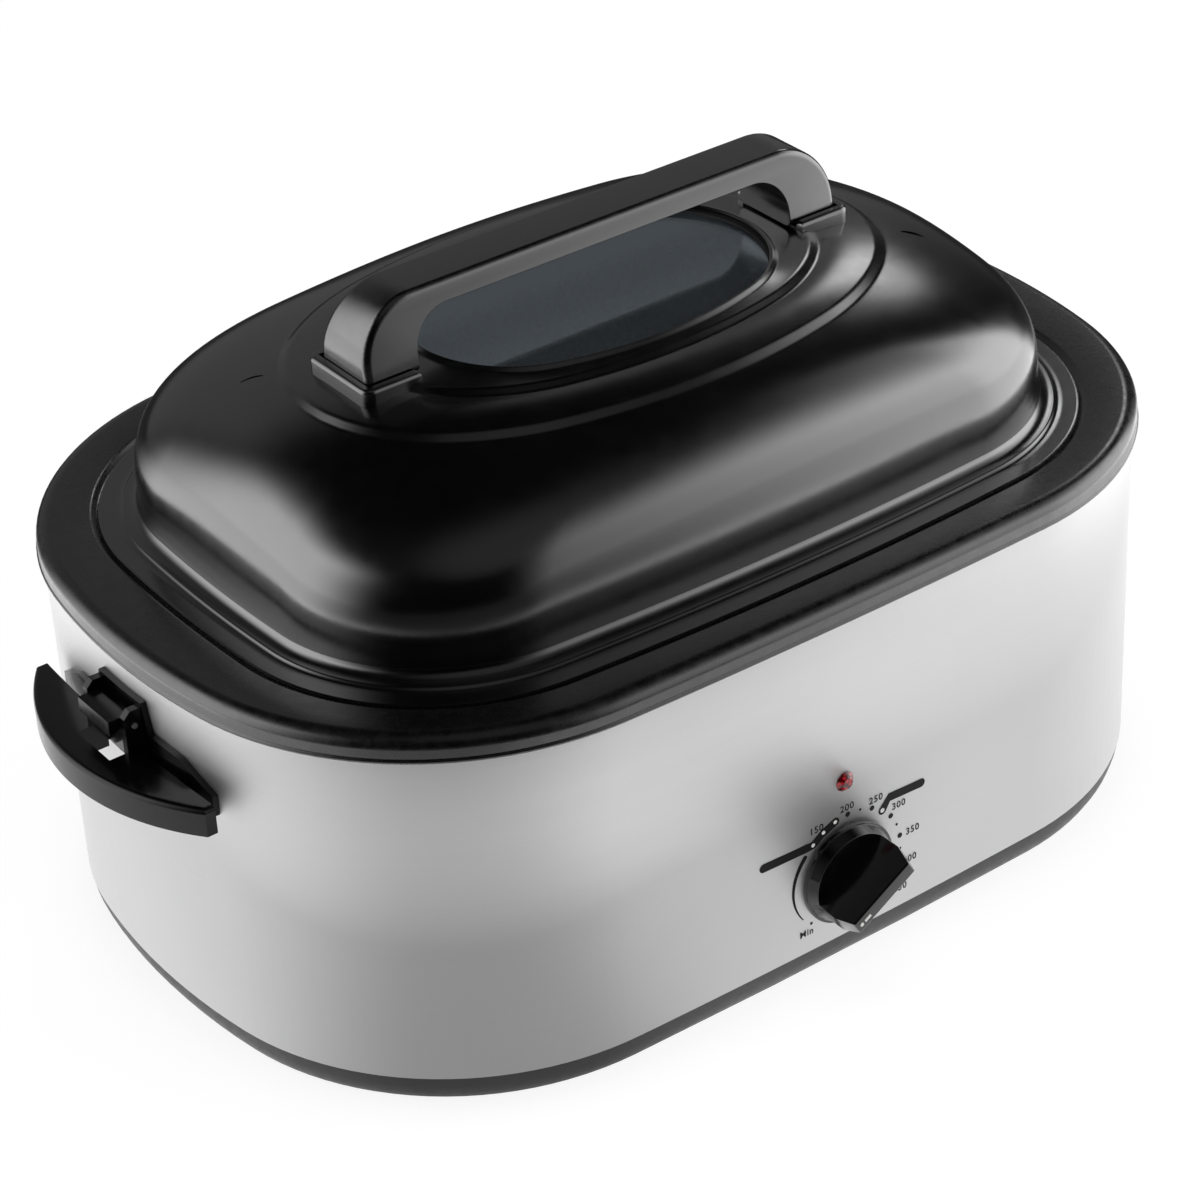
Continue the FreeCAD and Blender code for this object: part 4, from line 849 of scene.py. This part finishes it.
def make_dial():
    big = [dot(polar(mark(k)), BIG_DOT) for k in (0, 2, 4, 6, 8, 10)]
    small = [dot(polar(mark(k)), SMALL_DOT) for k in (1, 5, 7, 9)]
    print_mesh("dial_dots", big + small + [dot(polar(*MIN_PLACE), MIN_DOT)])
    print_mesh("dial_arc", [taper_arc()])
    print_mesh("dial_bar_left", [bar(LEFT_BAR + [polar(mark(k)) for k in (-3, -2, -1)])])
    print_mesh("dial_bar_right", [bar([polar(mark(3))] + RIGHT_BAR)])
    pale = [dot(polar(mark(k)), BAR_DOT) for k in (-3, -2, -1)]
    pale.append(dot(polar(mark(3)), BAR_END_DOT))
    print_mesh("dial_white_dots", pale, WHITE, PRINT_LIFT + WHITE_LIFT)
    for text, (x, z) in LABELS.items():
        label(text, x, z)


def label(text, x, z):
    """Thin lettering, bent to the front."""
    curve = bpy.data.curves.new("dial_" + text, "FONT")
    curve.body = text
    curve.size = LABEL_SIZE * MM
    curve.offset = LABEL_WEIGHT * MM
    curve.align_x = "CENTER"
    curve.align_y = "CENTER"
    curve.extrude = LABEL_SHEET * MM
    curve.space_character = LABEL_SPACING
    words = link("dial_" + text, curve)
    graph = bpy.context.evaluated_depsgraph_get()
    mesh = bpy.data.meshes.new_from_object(words.evaluated_get(graph))
    bpy.data.objects.remove(words)
    for v in mesh.vertices:
        along = v.co.x / MM + x
        y = (front_y(along) - PRINT_LIFT) * MM - v.co.z
        v.co = Vector((along * MM, y, v.co.y + (KNOB_Z + z) * MM))
    mesh.materials.clear()
    mesh.materials.append(INK)
    piece = link("dial_" + text, mesh)
    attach(piece, "root")


# ---- carried-over pieces ----

def dress_nodes():
    """Every other node keeps its CAD shape and gets rounded edges and a finish."""
    refined("lid_handle", HANDLE, bevel=0.5)
    for side in ("_left", "_right"):
        refined("handle_pad" + side, HANDLE, bevel=1.0, segments=3)
        refined("side_handle" + side, GRIP, bevel=0.8, segments=3)
        refined("lid_rest" + side, GRIP, bevel=0.5)
        refined("lid_rest_pin" + side, ZINC, bevel=0.2)
        refined("side_handle_screws" + side, ZINC, bevel=0.2)
    refined("knob", KNOB, bevel=0.5, segments=3)
    refined("knob_pointer", WHITE, bevel=0.05)
    refined("knob_shaft", ZINC, bevel=0.2)
    refined("base_tray", BASE, bevel=0.4)
    for i in range(1, 5):
        refined("foot_%d" % i, RUBBER, bevel=0.4)
    refined("lamp_lens", RED, bevel=0.15)
    refined("cord_gland", BASE, bevel=0.4)
    refined("window_gasket", RUBBER, bevel=0.2)
    refined("window_retainer", LID, bevel=0.2)
    refined("window_glass", PANE, bevel=0.3)
    for node in ("foot_screws", "centre_bolt", "thermostat_nut", "window_screws", "lid_handle_screws",
                 "lid_handle_washers", "thermal_fuse"):
        refined(node, ZINC, bevel=0.2)
    for node in ("liner", "liner_bracket", "thermostat_bracket", "thermostat_sensor"):
        refined(node, PLAIN, bevel=0.1)
    for node in ("heater_band_lower", "heater_band_upper"):
        refined(node, MICA, bevel=0.1)
    for node in ("heater_terminals", "thermostat", "terminal_block", "lamp_body"):
        refined(node, CERAMIC, bevel=0.3)
    refined("insulation_blanket", FIBRE, bevel=0.8)
    refined("wiring", SLEEVE, bevel=0.0)


# ---- studio ----

# A light panel: its azimuths from dark to full and from full to dark, in degrees, 0 at the front and 90 at
# the right; the elevations where it begins to fall off and where it ends; how far out on the floor its
# reflection begins and is full, in metres; and its strength.
Panel = namedtuple("Panel", "azimuths elevations floor strength")
PANELS = (
    Panel((-10.0, 62.0, 92.0, 104.0), (24.0, 60.0), (0.54, 0.8), 2.75),
    Panel((-174.0, -138.0, -112.0, -62.0), (38.0, 60.0), (0.54, 0.8), 2.1),
    Panel((100.0, 140.0, 180.0, 215.0), (34.0, 50.0), (4.0, 5.0), 0.18),
)
# A round soft light: its place, how many degrees from its middle it is dark and full, and its strength.
RoundLight = namedtuple("RoundLight", "azimuth elevation dark full strength")
ROUND_LIGHTS = (
    RoundLight(5.0, 66.0, 35.0, 8.0, 0.1),
    RoundLight(126.0, 30.5, 7.0, 2.5, 3.2),
)
# Where reflections see less of the near floor's white: azimuths as in a panel, and how much less.
FloorDip = namedtuple("FloorDip", "azimuths amount")
FLOOR_DIPS = (
    FloorDip((-88.0, -55.0, -38.0, -8.0), 0.48),
    FloorDip((80.0, 120.0, 195.0, 220.0), 0.7),
)
EDGE_POWER = 1.8                             # how softly a panel's sides fade

FLOOR_HALF = 6.0                             # metres
FLOOR_OVAL = (1.0, 1.3, 0.0)                 # distance on the floor is measured on an oval like the part's
NEAR_WHITE = 1.12                            # how bright reflections see the near floor
NEAR_EDGE = (0.68, 0.95)                     # where that fades out, in metres
FAR_SHARE = 0.85                             # of a panel's strength, in its reflection on the floor


def azimuth_of(graph, direction):
    """Sockets with the direction's azimuth in radians and its height."""
    parts = graph.node("ShaderNodeSeparateXYZ")
    graph.wire(direction, parts.inputs[0])
    back = graph.math("MULTIPLY", parts.outputs["Y"], -1.0)
    return graph.math("ARCTAN2", parts.outputs["X"], back), parts.outputs["Z"]


def across(graph, azimuth, azimuths):
    """1 between the middle two azimuths, smoothly down to 0 at the outer two."""
    middle = (azimuths[0] + azimuths[3]) / 2
    wrap = graph.node("ShaderNodeMath", operation="WRAP")
    graph.wire(azimuth, wrap.inputs[0])
    wrap.inputs[1].default_value = math.radians(middle + 180)
    wrap.inputs[2].default_value = math.radians(middle - 180)
    dark, full, full_end, dark_end = (math.radians(v) for v in azimuths)
    rise = graph.spread(wrap.outputs[0], 0.0, 1.0, dark, full, smooth=True)
    fall = graph.spread(wrap.outputs[0], 1.0, 0.0, full_end, dark_end, smooth=True)
    return graph.math("POWER", graph.math("MULTIPLY", rise, fall), EDGE_POWER)


def round_light(graph, direction, light):
    """The light's strength round its axis, smoothly down to 0."""
    turned, lifted = math.radians(light.azimuth), math.radians(light.elevation)
    level = math.cos(lifted)
    axis = (math.sin(turned) * level, -math.cos(turned) * level, math.sin(lifted))
    facing = graph.vector("DOT_PRODUCT", direction, axis)
    dark, full = math.cos(math.radians(light.dark)), math.cos(math.radians(light.full))
    return graph.spread(facing, 0.0, light.strength, dark, full, smooth=True)


def make_world():
    """White for the camera; soft light panels and round lights for the rest."""
    world = bpy.data.worlds.new("studio")
    world.use_nodes = True
    bpy.context.scene.world = world
    graph = Graph(world.node_tree)
    panels = world.node_tree.nodes["Background"]
    panels.inputs["Color"].default_value = (1.0, 1.0, 1.0, 1.0)
    direction = graph.node("ShaderNodeTexCoord").outputs["Generated"]
    azimuth, height = azimuth_of(graph, direction)
    total = 0.0
    for light in ROUND_LIGHTS:
        total = graph.math("ADD", total, round_light(graph, direction, light))
    for panel in PANELS:
        low, high = (math.sin(math.radians(v)) for v in panel.elevations)
        lit = graph.math("MULTIPLY", across(graph, azimuth, panel.azimuths),
                         graph.spread(height, panel.strength, 0.0, low, high, smooth=True))
        total = graph.math("ADD", total, lit)
    graph.wire(total, panels.inputs["Strength"])
    white = graph.node("ShaderNodeBackground")
    white.inputs["Color"].default_value = (1.0, 1.0, 1.0, 1.0)
    seen = graph.node("ShaderNodeLightPath").outputs["Is Camera Ray"]
    shown = graph.mix(seen, panels.outputs[0], white.outputs[0])
    graph.wire(shown, world.node_tree.nodes["World Output"].inputs["Surface"])


def floor_in_reflections(graph):
    """How bright reflections see the floor: white near the part, dark beyond, and the panels far out."""
    place = graph.node("ShaderNodeTexCoord").outputs["Object"]
    reach = graph.vector("LENGTH", graph.vector("MULTIPLY", place, FLOOR_OVAL))
    azimuth, _ = azimuth_of(graph, place)
    light = graph.spread(reach, NEAR_WHITE, 0.0, *NEAR_EDGE, smooth=True)
    for dip in FLOOR_DIPS:
        lost = graph.math("MULTIPLY", across(graph, azimuth, dip.azimuths), dip.amount)
        light = graph.math("MULTIPLY", light, graph.math("SUBTRACT", 1.0, lost))
    for panel in PANELS:
        far = graph.spread(reach, 0.0, panel.strength * FAR_SHARE, *panel.floor, smooth=True)
        lit = graph.math("MULTIPLY", across(graph, azimuth, panel.azimuths), far)
        light = graph.math("ADD", light, lit)
    return light


def glowing_matt(graph, grey, strength, light):
    """A matt grey that glows, scaled by the light, which may be a socket."""
    matt = graph.node("ShaderNodeBsdfDiffuse")
    graph.feed(matt.inputs["Color"], (grey, grey, grey, 1.0))
    glow = graph.node("ShaderNodeEmission")
    graph.feed(glow.inputs["Strength"], graph.math("MULTIPLY", light, strength))
    both = graph.node("ShaderNodeAddShader")
    graph.wire(matt.outputs[0], both.inputs[0])
    graph.wire(glow.outputs[0], both.inputs[1])
    return both.outputs[0]


def make_floor():
    """White with a light shadow for the camera, its own brightness in reflections, and clear from below."""
    half = FLOOR_HALF
    mesh = bpy.data.meshes.new("floor")
    corners = [(-half, -half, 0), (half, -half, 0), (half, half, 0), (-half, half, 0)]
    mesh.from_pydata(corners, [], [(0, 1, 2, 3)])
    floor = link("floor", mesh)
    paint = bpy.data.materials.new("floor_white")
    paint.use_nodes = True
    paint.cycles.emission_sampling = "NONE"
    graph = Graph(paint.node_tree)
    path = graph.node("ShaderNodeLightPath")
    for_light = glowing_matt(graph, 0.8, 0.0, 1.0)
    for_gloss = glowing_matt(graph, 0.05, 1.0, floor_in_reflections(graph))
    for_camera = glowing_matt(graph, 0.22, 0.86, 1.0)
    shown = graph.mix(path.outputs["Is Glossy Ray"], for_light, for_gloss)
    shown = graph.mix(path.outputs["Is Camera Ray"], shown, for_camera)
    below = graph.node("ShaderNodeNewGeometry").outputs["Backfacing"]
    shown = graph.mix(below, shown, graph.node("ShaderNodeBsdfTransparent").outputs[0])
    graph.wire(shown, paint.node_tree.nodes["Material Output"].inputs["Surface"])
    mesh.materials.append(paint)


def fill_lamp(name, place, target, size, power):
    """A soft lamp for the diffuse light only, with no highlight of its own."""
    light = bpy.data.lights.new(name, "AREA")
    light.shape = "RECTANGLE"
    light.size, light.size_y = size
    light.energy = power
    holder = link(name, light)
    holder.location = place
    holder.rotation_euler = (Vector(place) - Vector(target)).to_track_quat("Z", "Y").to_euler()
    holder.visible_glossy = False
    holder.visible_camera = False


def make_camera():
    """The studio's viewpoint, from the front on the left and above: angles, distance in metres and lens."""
    azimuth = math.radians(-35.023)
    elevation = math.radians(32.527)
    roll = math.radians(-3.045)
    distance = 1.891237
    target = Vector((0.004569, 0.009233, 0.114747))
    level = math.cos(elevation)
    back = Vector((math.sin(azimuth) * level, -math.cos(azimuth) * level, math.sin(elevation)))
    right = Vector((math.cos(azimuth), math.sin(azimuth), 0.0))
    up = back.cross(right)
    rolled_right = right * math.cos(roll) + up * math.sin(roll)
    rolled_up = up * math.cos(roll) - right * math.sin(roll)
    data = bpy.data.cameras.new("camera")
    data.sensor_width = 36.0
    data.lens = 109.192
    camera = link("camera", data)
    place = target + back * distance
    axes = Matrix((rolled_right, rolled_up, back)).transposed().to_4x4()
    camera.matrix_world = Matrix.Translation(place) @ axes
    bpy.context.scene.camera = camera


def make_fills():
    centre = (0.0, 0.0, 0.15)
    fill_lamp("fill_front", (-0.5, -2.0, 1.3), centre, (1.6, 1.0), 16.0)
    fill_lamp("fill_top", (0.0, 0.1, 2.3), centre, (1.6, 1.2), 14.0)


bpy.context.scene.view_settings.view_transform = "Standard"
make_camera()
make_world()
make_floor()
make_fills()
make_lid()
make_cookwell()
make_shell()
make_dial()
dress_nodes()
